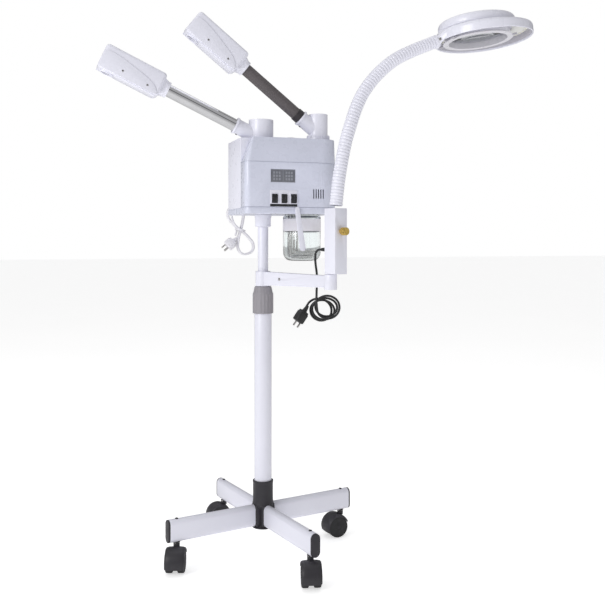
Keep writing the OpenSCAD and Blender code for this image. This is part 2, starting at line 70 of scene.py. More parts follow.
# ---------------------------------------------------------------- sizes and colours
class SteamerSizes(bpy.types.PropertyGroup):
    """Sizes a user may change, in metres."""

    edge: bpy.props.FloatProperty(
        name="Edge", description="Radius of a moulded edge", default=0.0012, min=0.0002,
        max=0.003, unit="LENGTH")
    cord: bpy.props.FloatProperty(
        name="Cord", description="Diameter of both mains cords", default=0.005, min=0.004,
        max=0.006, unit="LENGTH")
    rib_pitch: bpy.props.FloatProperty(
        name="Rib pitch", description="Distance between the gooseneck's ribs", default=0.0088,
        min=0.005, max=0.012, unit="LENGTH")
    rib_radius: bpy.props.FloatProperty(
        name="Rib radius", description="Outer radius of the gooseneck", default=0.0138,
        min=0.012, max=0.015, unit="LENGTH")


def colour_prop(name, description, default):
    """A colour setting with its default."""
    return bpy.props.FloatVectorProperty(
        name=name, description=description, subtype="COLOR", size=3, min=0.0, max=1.0,
        default=default)


class SteamerColours(bpy.types.PropertyGroup):
    """Base colours of the finishes."""

    white: colour_prop("White", "White mouldings and powder coat", (0.78, 0.78, 0.87))
    front: colour_prop("Front", "Blue-grey front mouldings", (0.66, 0.68, 0.80))
    black: colour_prop("Black", "Black mouldings of the stand", (0.028, 0.026, 0.032))
    collar: colour_prop("Collar", "Grey clamp collar", (0.30, 0.285, 0.31))
    brass: colour_prop("Brass", "Lamp clamp knob", (0.78, 0.55, 0.15))
    sleeve: colour_prop("Sleeve", "Woven sleeve of the cold steam tube", (0.10, 0.088, 0.092))


# ---------------------------------------------------------------- finishes
def link(tree, source, target):
    """Joins two sockets."""
    tree.links.new(source, target)


def new_finish(name, colour, roughness, metallic=0.0):
    """A material with one Principled shader; returns the material, its tree and the shader."""
    material = bpy.data.materials.new(name)
    material.use_nodes = True
    tree = material.node_tree
    shader = tree.nodes["Principled BSDF"]
    shader.inputs["Base Color"].default_value = (*colour, 1.0)
    shader.inputs["Roughness"].default_value = roughness
    shader.inputs["Metallic"].default_value = metallic
    return material, tree, shader


def object_noise(tree, scale, detail=3.0, stretch=(1.0, 1.0, 1.0)):
    """Noise on Object coordinates."""
    where = tree.nodes.new("ShaderNodeTexCoord")
    mapping = tree.nodes.new("ShaderNodeMapping")
    mapping.inputs["Scale"].default_value = stretch
    noise = tree.nodes.new("ShaderNodeTexNoise")
    noise.inputs["Scale"].default_value = scale
    noise.inputs["Detail"].default_value = detail
    link(tree, where.outputs["Object"], mapping.inputs["Vector"])
    link(tree, mapping.outputs["Vector"], noise.inputs["Vector"])
    return noise.outputs["Fac"]


def ranged(tree, value, low, high):
    """A factor of 0 to 1 spread between low and high."""
    spread = tree.nodes.new("ShaderNodeMapRange")
    spread.inputs["From Min"].default_value = 0.3
    spread.inputs["From Max"].default_value = 0.7
    spread.inputs["To Min"].default_value = low
    spread.inputs["To Max"].default_value = high
    link(tree, value, spread.inputs["Value"])
    return spread.outputs["Result"]


def mottle(tree, shader, colour, amount, scale):
    """Slight colour variation over a surface."""
    mix = tree.nodes.new("ShaderNodeMix")
    mix.data_type = "RGBA"
    mix.inputs["A"].default_value = (*[c * (1.0 - amount) for c in colour], 1.0)
    mix.inputs["B"].default_value = (*[min(1.0, c * (1.0 + amount)) for c in colour], 1.0)
    link(tree, ranged(tree, object_noise(tree, scale), 0.0, 1.0), mix.inputs["Factor"])
    link(tree, mix.outputs["Result"], shader.inputs["Base Color"])


def relief(tree, shader, height, strength, distance):
    """Bump from a height."""
    bump = tree.nodes.new("ShaderNodeBump")
    bump.inputs["Strength"].default_value = strength
    bump.inputs["Distance"].default_value = distance
    link(tree, height, bump.inputs["Height"])
    link(tree, bump.outputs["Normal"], shader.inputs["Normal"])


def moulded(name, colour, roughness=0.3, coat=0.25, grain=420.0, depth=0.00003):
    """Injection-moulded plastic: fine grain, slight mottling, a soft gloss coat."""
    material, tree, shader = new_finish(name, colour, roughness)
    mottle(tree, shader, colour, 0.02, 14.0)
    shader.inputs["Coat Weight"].default_value = coat
    shader.inputs["Coat Roughness"].default_value = 0.12
    link(tree, ranged(tree, object_noise(tree, 60.0), roughness * 0.85, roughness * 1.2),
         shader.inputs["Roughness"])
    relief(tree, shader, object_noise(tree, grain, 2.0), 0.05, depth)
    return material


def powder_coat(name, colour):
    """Satin powder coat on steel, with its orange-peel skin."""
    material, tree, shader = new_finish(name, colour, 0.38)
    mottle(tree, shader, colour, 0.015, 9.0)
    shader.inputs["Coat Weight"].default_value = 0.35
    shader.inputs["Coat Roughness"].default_value = 0.22
    relief(tree, shader, object_noise(tree, 300.0, 1.0), 0.06, 0.00005)
    return material


def metal(name, colour, roughness, streak=(1.0, 1.0, 1.0), scale=300.0):
    """Bare or plated metal with fine polishing streaks."""
    material, tree, shader = new_finish(name, colour, roughness, 1.0)
    link(tree, ranged(tree, object_noise(tree, scale, 4.0, streak), roughness * 0.7,
                      roughness * 1.5), shader.inputs["Roughness"])
    mottle(tree, shader, colour, 0.03, 40.0)
    return material


def soft_vinyl(name, colour):
    """Flexible PVC of cords and plugs."""
    material, tree, shader = new_finish(name, colour, 0.42)
    mottle(tree, shader, colour, 0.04, 55.0)
    shader.inputs["Sheen Weight"].default_value = 0.08
    relief(tree, shader, object_noise(tree, 1200.0, 2.0), 0.2, 0.00003)
    return material


def clear_glass(name, colour, roughness=0.01, ior=1.47):
    """Thick clear glass with faint surface waves."""
    material, tree, shader = new_finish(name, colour, roughness)
    shader.inputs["Transmission Weight"].default_value = 1.0
    shader.inputs["IOR"].default_value = ior
    relief(tree, shader, object_noise(tree, 35.0, 1.0), 0.08, 0.0004)
    return material


def frosted(name, colour):
    """A pale, half see-through print on glass."""
    material, tree, shader = new_finish(name, colour, 0.45)
    mottle(tree, shader, colour, 0.02, 30.0)
    shader.inputs["Alpha"].default_value = 0.82
    return material


def woven_sleeve(name, colour, turn):
    """Dark braided sleeve: two crossing sets of strands wound round the tube's own axis."""
    material, tree, shader = new_finish(name, colour, 0.5)
    where = tree.nodes.new("ShaderNodeTexCoord")
    mapping = tree.nodes.new("ShaderNodeMapping")
    mapping.inputs["Location"].default_value = turn.inverted().to_translation()
    mapping.inputs["Rotation"].default_value = turn.inverted().to_euler()
    split = tree.nodes.new("ShaderNodeSeparateXYZ")
    link(tree, where.outputs["Object"], mapping.inputs["Vector"])
    link(tree, mapping.outputs["Vector"], split.inputs["Vector"])
    angle = tree.nodes.new("ShaderNodeMath")
    angle.operation = "ARCTAN2"
    link(tree, split.outputs["Y"], angle.inputs[0])
    link(tree, split.outputs["Z"], angle.inputs[1])
    waves = []
    for sense in (-1.0, 1.0):
        along = tree.nodes.new("ShaderNodeMath")
        along.operation = "MULTIPLY"
        along.inputs[1].default_value = 1500.0 * sense
        link(tree, split.outputs["X"], along.inputs[0])
        phase = tree.nodes.new("ShaderNodeMath")
        phase.operation = "MULTIPLY_ADD"
        phase.inputs[1].default_value = 22.0
        link(tree, angle.outputs[0], phase.inputs[0])
        link(tree, along.outputs[0], phase.inputs[2])
        wave = tree.nodes.new("ShaderNodeMath")
        wave.operation = "SINE"
        link(tree, phase.outputs[0], wave.inputs[0])
        waves.append(wave.outputs[0])
    weave = tree.nodes.new("ShaderNodeMath")
    weave.operation = "MULTIPLY"
    link(tree, waves[0], weave.inputs[0])
    link(tree, waves[1], weave.inputs[1])
    mix = tree.nodes.new("ShaderNodeMix")
    mix.data_type = "RGBA"
    mix.inputs["A"].default_value = (*[c * 0.55 for c in colour], 1.0)
    mix.inputs["B"].default_value = (*[c * 1.9 for c in colour], 1.0)
    spread = tree.nodes.new("ShaderNodeMapRange")
    spread.inputs["From Min"].default_value = -0.6
    link(tree, weave.outputs[0], spread.inputs["Value"])
    link(tree, spread.outputs["Result"], mix.inputs["Factor"])
    link(tree, mix.outputs["Result"], shader.inputs["Base Color"])
    relief(tree, shader, weave.outputs[0], 0.6, 0.0003)
    return material


FINISHES = {}


def finish_of(name):
    """A finish made once and shared."""
    if name not in FINISHES:
        FINISHES[name] = MAKERS[name]()
    return FINISHES[name]


def tint(name):
    """A colour from the settings."""
    return tuple(getattr(bpy.context.scene.steamer_colours, name))


MAKERS = {
    "white_powder_coat": lambda: powder_coat("white_powder_coat", tint("white")),
    "white_moulding": lambda: moulded("white_moulding", tint("white")),
    "front_moulding": lambda: moulded("front_moulding", tint("front"), 0.28),
    "black_plastic": lambda: moulded("black_plastic", tint("black"), 0.45, 0.05, 700.0, 0.0001),
    "tread_black": lambda: moulded("tread_black", (0.02, 0.02, 0.022), 0.55, 0.0, 500.0),
    "collar_grey": lambda: moulded("collar_grey", tint("collar"), 0.5, 0.0, 600.0),
    "rocker_black": lambda: moulded("rocker_black", (0.012, 0.012, 0.014), 0.22, 0.4),
    "window_smoke": lambda: moulded("window_smoke", (0.15, 0.155, 0.18), 0.15, 0.8),
    "window_frame": lambda: moulded("window_frame", (0.26, 0.27, 0.31), 0.3),
    "board_green": lambda: moulded("board_green", (0.02, 0.13, 0.05), 0.35, 0.5),
    "steel": lambda: metal("steel", (0.60, 0.58, 0.57), 0.2),
    "chrome": lambda: metal("chrome", (0.82, 0.82, 0.84), 0.06),
    "brass": lambda: metal("brass", tint("brass"), 0.22),
    "neck_sleeve": lambda: moulded("neck_sleeve", tint("white"), 0.33),
    "lamp_moulding": lambda: moulded("lamp_moulding", tint("white"), 0.28),
    "lamp_trim": lambda: moulded("lamp_trim", (0.42, 0.41, 0.46), 0.35),
    "lens": lambda: clear_glass("lens", (0.93, 0.95, 0.98)),
    "led_white": lambda: moulded("led_white", (0.75, 0.75, 0.72), 0.5),
    "seam_shadow": lambda: moulded("seam_shadow", (0.36, 0.38, 0.47), 0.5, 0.0),
    "ring_white": lambda: moulded("ring_white", (0.70, 0.69, 0.74), 0.3),
    "cuff": lambda: moulded("cuff", (0.035, 0.03, 0.034), 0.5, 0.05),
    "dark_mesh_tube": lambda: moulded("dark_mesh_tube", tint("sleeve"), 0.5),
    "plate_silver": lambda: metal("plate_silver", (0.62, 0.62, 0.64), 0.3, (1.0, 1.0, 30.0)),
    "diode": lambda: moulded("diode", (0.90, 0.88, 0.74), 0.3, 0.4),
    "frosted_band": lambda: frosted("frosted_band", (0.92, 0.90, 0.94)),
    "jar_glass": lambda: clear_glass("jar_glass", (0.95, 0.98, 0.98)),
    "white_cord": lambda: soft_vinyl("white_cord", (0.74, 0.73, 0.77)),
    "black_cord": lambda: soft_vinyl("black_cord", (0.014, 0.014, 0.015)),
}


# ---------------------------------------------------------------- making pieces
def dress(piece, body, slot, finish=None, nodes=()):
    """Gives a piece its finish, the slot's own unless one is given, puts it on the body it rides on
    and hides the nodes it stands for.
    """
    piece.data.materials.clear()
    piece.data.materials.append(finish or finish_of(slot))
    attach(piece, body)
    if nodes:
        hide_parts(*nodes)
    return piece


def piece_from(bm, name, angle=35.0, recalc=True):
    """A finished bmesh as an object at the origin, smooth but for its sharp edges."""
    bmesh.ops.remove_doubles(bm, verts=bm.verts[:], dist=1e-6)
    if recalc:
        bmesh.ops.recalc_face_normals(bm, faces=bm.faces[:])
    mesh = bpy.data.meshes.new(name)
    bm.to_mesh(mesh)
    bm.free()
    mesh.shade_smooth()
    mesh.set_sharp_from_angle(angle=math.radians(angle))
    piece = bpy.data.objects.new(name, mesh)
    bpy.context.scene.collection.objects.link(piece)
    return piece


def bevel(bm, edges, width, segments=2):
    """Rounds edges."""
    bmesh.ops.bevel(bm, geom=list(edges), offset=width, offset_type="OFFSET", affect="EDGES",
                    segments=segments, profile=0.5, material=-1, clamp_overlap=True)


def sharp_edges(bm, angle=30.0):
    """Edges that turn by more than angle."""
    limit = math.radians(angle)
    return [e for e in bm.edges if len(e.link_faces) == 2 and e.calc_face_angle(0.0) > limit]


def add_block(bm, size, place, width=0.0, segments=2):
    """Adds a box of this size, in this place, with rounded edges."""
    made = bmesh.ops.create_cube(bm, size=1.0)
    verts = made["verts"]
    bmesh.ops.scale(bm, vec=size, verts=verts)
    if width:
        edges = {e for v in verts for e in v.link_edges}
        geom = bmesh.ops.bevel(bm, geom=list(edges), offset=width, offset_type="OFFSET",
                               affect="EDGES", segments=segments, profile=0.5, material=-1)
        verts = list({v for v in geom["verts"]} | {v for v in verts if v.is_valid})
        verts = list({w for v in verts for f in v.link_faces for w in f.verts})
    bmesh.ops.transform(bm, matrix=place, verts=verts)


def add_lathe(bm, profile, place, steps=64):
    """Spins an outline of (radius, height) points round its own Z axis and puts it in place."""
    verts = [bm.verts.new((r, 0.0, z)) for r, z in profile]
    edges = [bm.edges.new(pair) for pair in zip(verts, verts[1:])]
    made = bmesh.ops.spin(bm, geom=verts + edges, cent=(0, 0, 0), axis=(0, 0, 1), steps=steps,
                          angle=math.tau, dvec=(0, 0, 0), use_merge=True, use_duplicate=False)
    fresh = {v for item in made["geom_last"]
             for v in ([item] if isinstance(item, bmesh.types.BMVert) else item.verts)}
    reach = list(fresh | {v for v in verts if v.is_valid})
    seen = set(reach)
    while reach:
        vert = reach.pop()
        for edge in vert.link_edges:
            other = edge.other_vert(vert)
            if other not in seen:
                seen.add(other)
                reach.append(other)
    bmesh.ops.transform(bm, matrix=place, verts=list(seen))


def lathe_piece(name, profile, place, steps=64, angle=35.0):
    """A turned piece."""
    bm = bmesh.new()
    add_lathe(bm, profile, place, steps)
    return piece_from(bm, name, angle)


def softened(node, body, slot, width=None, finish=None, angle=30.0):
    """A CAD node's own shape with its moulded or broken edges, standing in for the node."""
    source = frame["nodes"][node]
    bm = bmesh.new()
    bm.from_mesh(source.data)
    bmesh.ops.remove_doubles(bm, verts=bm.verts[:], dist=2e-6)
    bmesh.ops.dissolve_limit(bm, angle_limit=math.radians(0.5), verts=bm.verts[:],
                             edges=bm.edges[:], use_dissolve_boundaries=False)
    bevel(bm, sharp_edges(bm, angle), width or bpy.context.scene.steamer_sizes.edge)
    piece = piece_from(bm, node + "_moulded", 40.0, recalc=False)
    return dress(piece, body, slot, finish, [node])


def turn_to(direction, origin=(0.0, 0.0, 0.0), across=UP):
    """A place whose Z axis points along direction."""
    z = Vector(direction).normalized()
    x = Vector(across).cross(z)
    if x.length < 1e-6:
        x = Vector((1.0, 0.0, 0.0))
    x.normalize()
    y = z.cross(x)
    return Matrix.Translation(origin) @ Matrix((x, y, z)).transposed().to_4x4()


def centre(node):
    """Middle of a node's box."""
    low, high = (Vector(c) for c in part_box(node))
    return (low + high) / 2


class SteamerOperator:
    """Shared by the operators of this object."""

    bl_options = {"REGISTER", "UNDO"}


# ---------------------------------------------------------------- stage
CAMERA_PLACE = Vector((-0.500, -1.835, 0.720))
CAMERA_TURN = 18.0
LENS = 48.8
HORIZON_SHIFT = -0.099


def add_light(name, place, aim, size, power, colour=(1.0, 1.0, 1.0)):
    """A square soft box aimed at a point."""
    data = bpy.data.lights.new(name, "AREA")
    data.size = size
    data.energy = power
    data.color = colour
    lamp = bpy.data.objects.new(name, data)
    bpy.context.scene.collection.objects.link(lamp)
    lamp.location = place
    lamp.rotation_euler = (Vector(aim) - Vector(place)).to_track_quat("-Z", "Y").to_euler()


def studio_world():
    """Plain white behind the object; dimmer walls with dark bands in what it reflects."""
    world = bpy.data.worlds.new("studio")
    world.use_nodes = True
    tree = world.node_tree
    plain = tree.nodes["Background"]
    plain.inputs["Color"].default_value = (1.0, 1.0, 1.0, 1.0)
    plain.inputs["Strength"].default_value = 1.0
    room = tree.nodes.new("ShaderNodeBackground")
    room.inputs["Strength"].default_value = 0.42
    where = tree.nodes.new("ShaderNodeTexCoord")
    split = tree.nodes.new("ShaderNodeSeparateXYZ")
    bands = tree.nodes.new("ShaderNodeValToRGB")
    bands.color_ramp.elements[0].position = 0.0
    bands.color_ramp.elements[0].color = (0.95, 0.95, 0.97, 1.0)
    bands.color_ramp.elements[1].position = 1.0
    bands.color_ramp.elements[1].color = (1.0, 1.0, 1.0, 1.0)
    for position, level in ((0.30, 0.85), (0.34, 0.12), (0.43, 0.10), (0.47, 0.9), (0.56, 1.0),
                            (0.60, 0.25), (0.66, 0.2), (0.70, 1.0)):
        band = bands.color_ramp.elements.new(position)
        band.color = (level, level, level * 1.02, 1.0)
    spread = tree.nodes.new("ShaderNodeMapRange")
    spread.inputs["From Min"].default_value = -1.0
    link(tree, where.outputs["Generated"], split.inputs["Vector"])
    link(tree, split.outputs["Z"], spread.inputs["Value"])
    link(tree, spread.outputs["Result"], bands.inputs["Fac"])
    shiny = tree.nodes.new("ShaderNodeMix")
    shiny.data_type = "RGBA"
    shiny.inputs["A"].default_value = (1.0, 1.0, 1.0, 1.0)
    rays = tree.nodes.new("ShaderNodeLightPath")
    link(tree, rays.outputs["Is Glossy Ray"], shiny.inputs["Factor"])
    link(tree, bands.outputs["Color"], shiny.inputs["B"])
    link(tree, shiny.outputs["Result"], room.inputs["Color"])
    clear = tree.nodes.new("ShaderNodeMath")
    clear.operation = "MAXIMUM"
    link(tree, rays.outputs["Is Camera Ray"], clear.inputs[0])
    link(tree, rays.outputs["Is Transmission Ray"], clear.inputs[1])
    either = tree.nodes.new("ShaderNodeMixShader")
    link(tree, clear.outputs[0], either.inputs["Fac"])
    link(tree, room.outputs["Background"], either.inputs[1])
    link(tree, plain.outputs["Background"], either.inputs[2])
    link(tree, either.outputs["Shader"], tree.nodes["World Output"].inputs["Surface"])
    return world


class STEAMER_OT_stage(SteamerOperator, bpy.types.Operator):
    """Sets the camera, the soft boxes, the pale floor and the pale surroundings."""

    bl_idname = "steamer.stage"
    bl_label = "Stage"

    def execute(self, context):
        scene = context.scene
        data = bpy.data.cameras.new("camera")
        data.lens = LENS
        data.sensor_width = 36.0
        data.shift_y = HORIZON_SHIFT
        camera = bpy.data.objects.new("camera", data)
        scene.collection.objects.link(camera)
        camera.location = CAMERA_PLACE
        camera.rotation_euler = (math.radians(90.0), 0.0, math.radians(-CAMERA_TURN))
        scene.camera = camera
        scene.view_settings.view_transform = "Standard"
        scene.world = studio_world()
        add_light("key", (-2.9, -1.5, 1.8), (0.0, -0.1, 0.75), 1.5, 44.0)
        add_light("fill", (2.6, -1.8, 1.0), (0.1, 0.0, 0.8), 1.4, 0.8)
        add_light("top", (0.0, 0.5, 3.2), (0.0, 0.0, 0.5), 2.4, 14.0)
        bm = bmesh.new()
        bmesh.ops.create_grid(bm, x_segments=1, y_segments=1, size=30.0)
        floor = piece_from(bm, "floor", recalc=False)
        material, tree, shader = new_finish("floor", (0.93, 0.93, 0.93), 0.6)
        mottle(tree, shader, (0.93, 0.93, 0.93), 0.01, 1.5)
        shader.inputs["Emission Color"].default_value = (1.0, 1.0, 1.0, 1.0)
        rays = tree.nodes.new("ShaderNodeLightPath")
        dim = tree.nodes.new("ShaderNodeMapRange")
        dim.inputs["To Min"].default_value = 0.56
        dim.inputs["To Max"].default_value = 0.05
        link(tree, rays.outputs["Is Glossy Ray"], dim.inputs["Value"])
        link(tree, dim.outputs["Result"], shader.inputs["Emission Strength"])
        floor.data.materials.append(material)
        return {"FINISHED"}


# ---------------------------------------------------------------- cords
WHITE_EXIT = [(-45, 104, 840), (-45, 112, 839), (-45, 119, 835), (-45, 123, 828), (-45, 123, 818)]
WHITE_TIE = Vector((-0.024, 0.119, 0.744))
BLACK_ROUTE = [(77, -191, 700), (73, -181, 699), (71, -172, 694), (72, -164, 684), (75, -157, 668),
               (79, -153, 648), (80, -152, 628), (79, -152, 608)]
BLACK_HANK = Vector((0.088, -0.156, 0.574))
WHITE_TAIL = [Vector(p) / 1000 for p in (
    (-54.5, 131, 779), (-49, 130.5, 767.5), (-40.5, 129, 758), (-34.6, 127, 748.5),
    (-33.4, 125, 739.5), (-36.5, 124, 731.5))]
BLACK_STATIONS = [(0.0162, -0.002, 0), (0.0125, 0.004, 14), (0.006, -0.004, 0),
                  (0.002, -0.008, -14), (-0.006, -0.004, 0)]
BLACK_TURNS = 3.87
BLACK_HALF_LONG, BLACK_HALF_WIDE = 0.0252, 0.0224
BLACK_DEPTH_START, BLACK_DEPTH_PER_TURN = -0.006, 0.0062
BLACK_TAIL = [(0.012, 0.0, 0.020)]


def cord_curve(name, points, diameter):
    """One open smooth curve with a round section."""
    curve = bpy.data.curves.new(name, "CURVE")
    curve.dimensions = "3D"
    curve.bevel_depth = diameter / 2
    curve.bevel_resolution = 4
    curve.resolution_u = 8
    curve.use_fill_caps = True
    spline = curve.splines.new("BEZIER")
    spline.bezier_points.add(len(points) - 1)
    for knot, point in zip(spline.bezier_points, points):
        knot.co = point
        knot.handle_left_type = "AUTO"
        knot.handle_right_type = "AUTO"
    cord = bpy.data.objects.new(name, curve)
    bpy.context.scene.collection.objects.link(cord)
    return cord


def length_of(cord):
    """Length of a cord's line."""
    total = 0.0
    knots = cord.data.splines[0].bezier_points
    bpy.context.view_layer.update()
    for a, b in zip(knots, knots[1:]):
        last = a.co
        for step in range(1, 17):
            t = step / 16
            here = ((1 - t) ** 3 * a.co + 3 * (1 - t) ** 2 * t * a.handle_right
                    + 3 * (1 - t) * t * t * b.handle_left + t ** 3 * b.co)
            total += (here - last).length
            last = here
    return total


def eased(stations, share):
    """Values between stations, with no step in their slope."""
    k = min(int(share), len(stations) - 2)
    t = share - k
    t = t * t * (3.0 - 2.0 * t)
    return [a + (b - a) * t for a, b in zip(stations[k], stations[k + 1])]


def white_points():
    """Out of the gland, long crossing turns through the tie, and off to the plug."""
    points = [Vector(p) / 1000 for p in WHITE_EXIT]
    half_wide, half_tall, lean, steps = 0.0192, 0.060, math.radians(-17), 16
    for step in range(3, 2 * steps + 2):
        a = math.tau * step / steps
        u, v = -half_wide * math.sin(2 * a), half_tall * math.cos(a)
        u, v = u * math.cos(lean) + v * math.sin(lean), v * math.cos(lean) - u * math.sin(lean)
        depth = 0.0108 * (a / math.tau - 1.0)
        points.append(WHITE_TIE + Vector((u, depth, v)))
    points += WHITE_TAIL
    return points


def black_points():
    """Out of the gland, past the bracket arm, then a loose bundle of drifting oval turns."""
    points = [Vector(p) / 1000 for p in BLACK_ROUTE]
    turn = Matrix.Rotation(math.radians(-CAMERA_TURN), 4, "Z")
    steps = 14
    for step in range(int(BLACK_TURNS * steps) + 1):
        share = step / steps
        u0, v0, tilt = eased(BLACK_STATIONS, share)
        deep = BLACK_DEPTH_START + BLACK_DEPTH_PER_TURN * share
        a = math.pi + math.tau * share
        c, s = math.cos(math.radians(tilt)), math.sin(math.radians(tilt))
        u, v = BLACK_HALF_LONG * math.cos(a), BLACK_HALF_WIDE * math.sin(a)
        points.append(BLACK_HANK + turn @ Vector((u0 + c * u - s * v, deep, v0 + s * u + c * v)))
    points += [centre("black_plug") + Vector(p) for p in BLACK_TAIL]
    return points


def plug_piece(name, place, size, prongs, prong_size, body, slot, node, cable):
    """A moulded three-pin plug: bevelled body, ribbed strain relief and metal prongs."""
    bm = bmesh.new()
    add_block(bm, size, place @ Matrix.Translation((0, 0, size[2] / 2)), 0.0032, 3)
    add_block(bm, (size[0] * 0.82, size[1] * 0.82, 0.004),
              place @ Matrix.Translation((0, 0, size[2] + 0.001)), 0.0012, 2)
    profile = [(0.0, size[2] - 0.001)]
    for ring in range(6):
        z = size[2] + 0.001 + ring * 0.0026
        r = 0.0062 - ring * 0.0005
        profile += [(r, z), (r, z + 0.0015), (r - 0.0009, z + 0.0016), (r - 0.0009, z + 0.0025)]
    profile += [(cable / 2, size[2] + 0.0175), (0.0, size[2] + 0.0175)]
    add_lathe(bm, profile, place, 24)
    plug = dress(piece_from(bm, name), body, slot, None, [node])
    bm = bmesh.new()
    for x, y in prongs:
        add_block(bm, prong_size, place @ Matrix.Translation((x, y, -prong_size[2] / 2 + 0.002)),
                  0.0006, 2)
    pins = dress(piece_from(bm, name + "_pins"), body, "steel")
    return plug, pins


def relief_piece(name, node, body, slot, place, length, r_wide, r_thin):
    """A tapered, slotted strain relief on its collar."""
    rings = 7
    profile = [(0.0, -0.003), (r_wide * 1.15, -0.003), (r_wide * 1.15, 0.002)]
    for ring in range(rings):
        z = 0.003 + (length - 0.004) * ring / rings
        r = r_wide + (r_thin - r_wide) * ring / (rings - 1)
        step = (length - 0.004) / rings
        profile += [(r, z), (r, z + step * 0.6), (r - 0.0008, z + step * 0.65),
                    (r - 0.0008, z + step * 0.95)]
    profile += [(r_thin, length - 0.0006), (0.0, length)]
    return dress(lathe_piece(name, profile, place, 32), body, slot, None, [node])


class STEAMER_OT_cords(SteamerOperator, bpy.types.Operator):
    """Makes both mains cords, with the white cord's tie, their reliefs and plugs."""

    bl_idname = "steamer.cords"
    bl_label = "Cords"

    def execute(self, context):
        d = context.scene.steamer_sizes.cord
        plug_turn = Matrix.Translation((-0.058, 0.119, 0.704)) @ Matrix.Rotation(
            math.radians(50), 4, "Y") @ Matrix.Rotation(math.radians(-35), 4, "Z")
        plug, pins = plug_piece("white_plug_moulded", plug_turn, (0.024, 0.018, 0.019),
                                [(-0.006, -0.003), (0.006, -0.003), (0.0, 0.005)],
                                (0.0018, 0.005, 0.014), "steamer", "white_cord", "white_plug", d)
        gland = relief_piece("white_cord_relief", "white_cord_gland", "steamer", "white_cord",
                             turn_to((0, 1, 0), (-0.045, 0.0852, 0.840)), 0.0195, 0.0068, 0.0038)
        bm = bmesh.new()
        profile = [(0.0105, -0.003), (0.0117, -0.003), (0.0117, 0.003), (0.0105, 0.003),
                   (0.0105, -0.003)]
        add_lathe(bm, profile, Matrix.Translation(WHITE_TIE) @ Matrix.Rotation(
            math.radians(15), 4, "Y"), 40)
        tie = dress(piece_from(bm, "white_cord_tie"), "steamer", "white_cord")
        cord = cord_curve("white_mains_cord", white_points(), d)
        dress(cord, "steamer", "white_cord", None, ["white_cord", "white_cord_hank"])
        length_of(cord)

        plug_turn = Matrix.Translation((0.050, -0.146, 0.562)) @ Matrix.Rotation(
            math.radians(35), 4, "Y") @ Matrix.Translation((0, 0, -0.022)) @ Matrix.Rotation(
                math.radians(20), 4, "Z")
        plug, pins = plug_piece("black_plug_moulded", plug_turn, (0.022, 0.018, 0.024),
                                [(-0.006, -0.003), (0.006, -0.003), (0.0, 0.005)],
                                (0.0018, 0.005, 0.013), "post", "black_cord", "black_plug", d)
        arm = Vector(JOINTS["clamp_knob_turn"]["axis"])
        start = arm * 0.2343 + UP * 0.700
        gland = relief_piece("black_cord_relief", "black_cord_gland", "post", "black_cord",
                             turn_to(-arm, start), 0.0285, 0.0056, 0.0036)
        cord = cord_curve("black_mains_cord", black_points(), d)
        dress(cord, "post", "black_cord", None, ["black_cord", "black_cord_hank"])
        length_of(cord)
        return {"FINISHED"}


# ---------------------------------------------------------------- stand
LEG_END = 0.213
LEG_TOP, LEG_UNDER = 0.112, 0.062


def leg_place(i):
    """A leg's own frame: +X outwards along the leg, on the floor."""
    stem = JOINTS[f"castor_swivel_{i}"]["pos_m"]
    return Matrix.Rotation(math.atan2(stem[1], stem[0]), 4, "Z")


def castor_place(i):
    """A castor's own frame: +X trailing from the stem, +Y up, +Z along the axle."""
    stem = Vector(JOINTS[f"castor_swivel_{i}"]["pos_m"])
    axle = Vector(JOINTS[f"wheel_roll_{i}"]["pos_m"])
    trail = Vector((axle.x - stem.x, axle.y - stem.y, 0.0)).normalized()
    return Matrix.Translation(axle) @ Matrix((trail, UP, trail.cross(UP))).transposed().to_4x4()


def add_sector(bm, outline, place, start, angle, steps):
    """Spins a closed outline of (radius, height) points through part of a turn, ends capped."""
    verts = [bm.verts.new((r * math.cos(start), r * math.sin(start), z)) for r, z in outline]
    face = bm.faces.new(verts)
    made = bmesh.ops.spin(bm, geom=[face, *face.edges, *verts], cent=(0, 0, 0), axis=(0, 0, 1),
                          steps=steps, angle=angle, dvec=(0, 0, 0), use_merge=False,
                          use_duplicate=False)
    move_island(bm, verts + [v for v in made["geom_last"] if isinstance(v, bmesh.types.BMVert)],
                place)


def move_island(bm, seeds, place):
    """Puts everything connected to the seeds in its place."""
    reach = [v for v in seeds if v.is_valid]
    seen = set(reach)
    while reach:
        vert = reach.pop()
        for edge in vert.link_edges:
            other = edge.other_vert(vert)
            if other not in seen:
                seen.add(other)
                reach.append(other)
    bmesh.ops.transform(bm, matrix=place, verts=list(seen))


def add_screw(bm, place, radius, height=0.0012):
    """Adds a pan-head screw standing on the place's XY plane, with a recessed cross."""
    rim = [(0.0, -0.0012), (radius * 0.92, -0.0012), (radius, height * 0.25),
           (radius * 0.92, height * 0.7), (radius * 0.6, height), (radius * 0.42, height),
           (radius * 0.22, height * 0.3), (0.0, height * 0.25)]
    add_lathe(bm, rim, place, 20)
    for turn in (0.0, math.pi / 2):
        for side in (-1, 1):
            add_block(bm, (radius * 0.34, radius * 0.24, height * 0.5),
                      place @ Matrix.Rotation(turn, 4, "Z")
                      @ Matrix.Translation((side * radius * 0.62, 0, height * 0.78)))


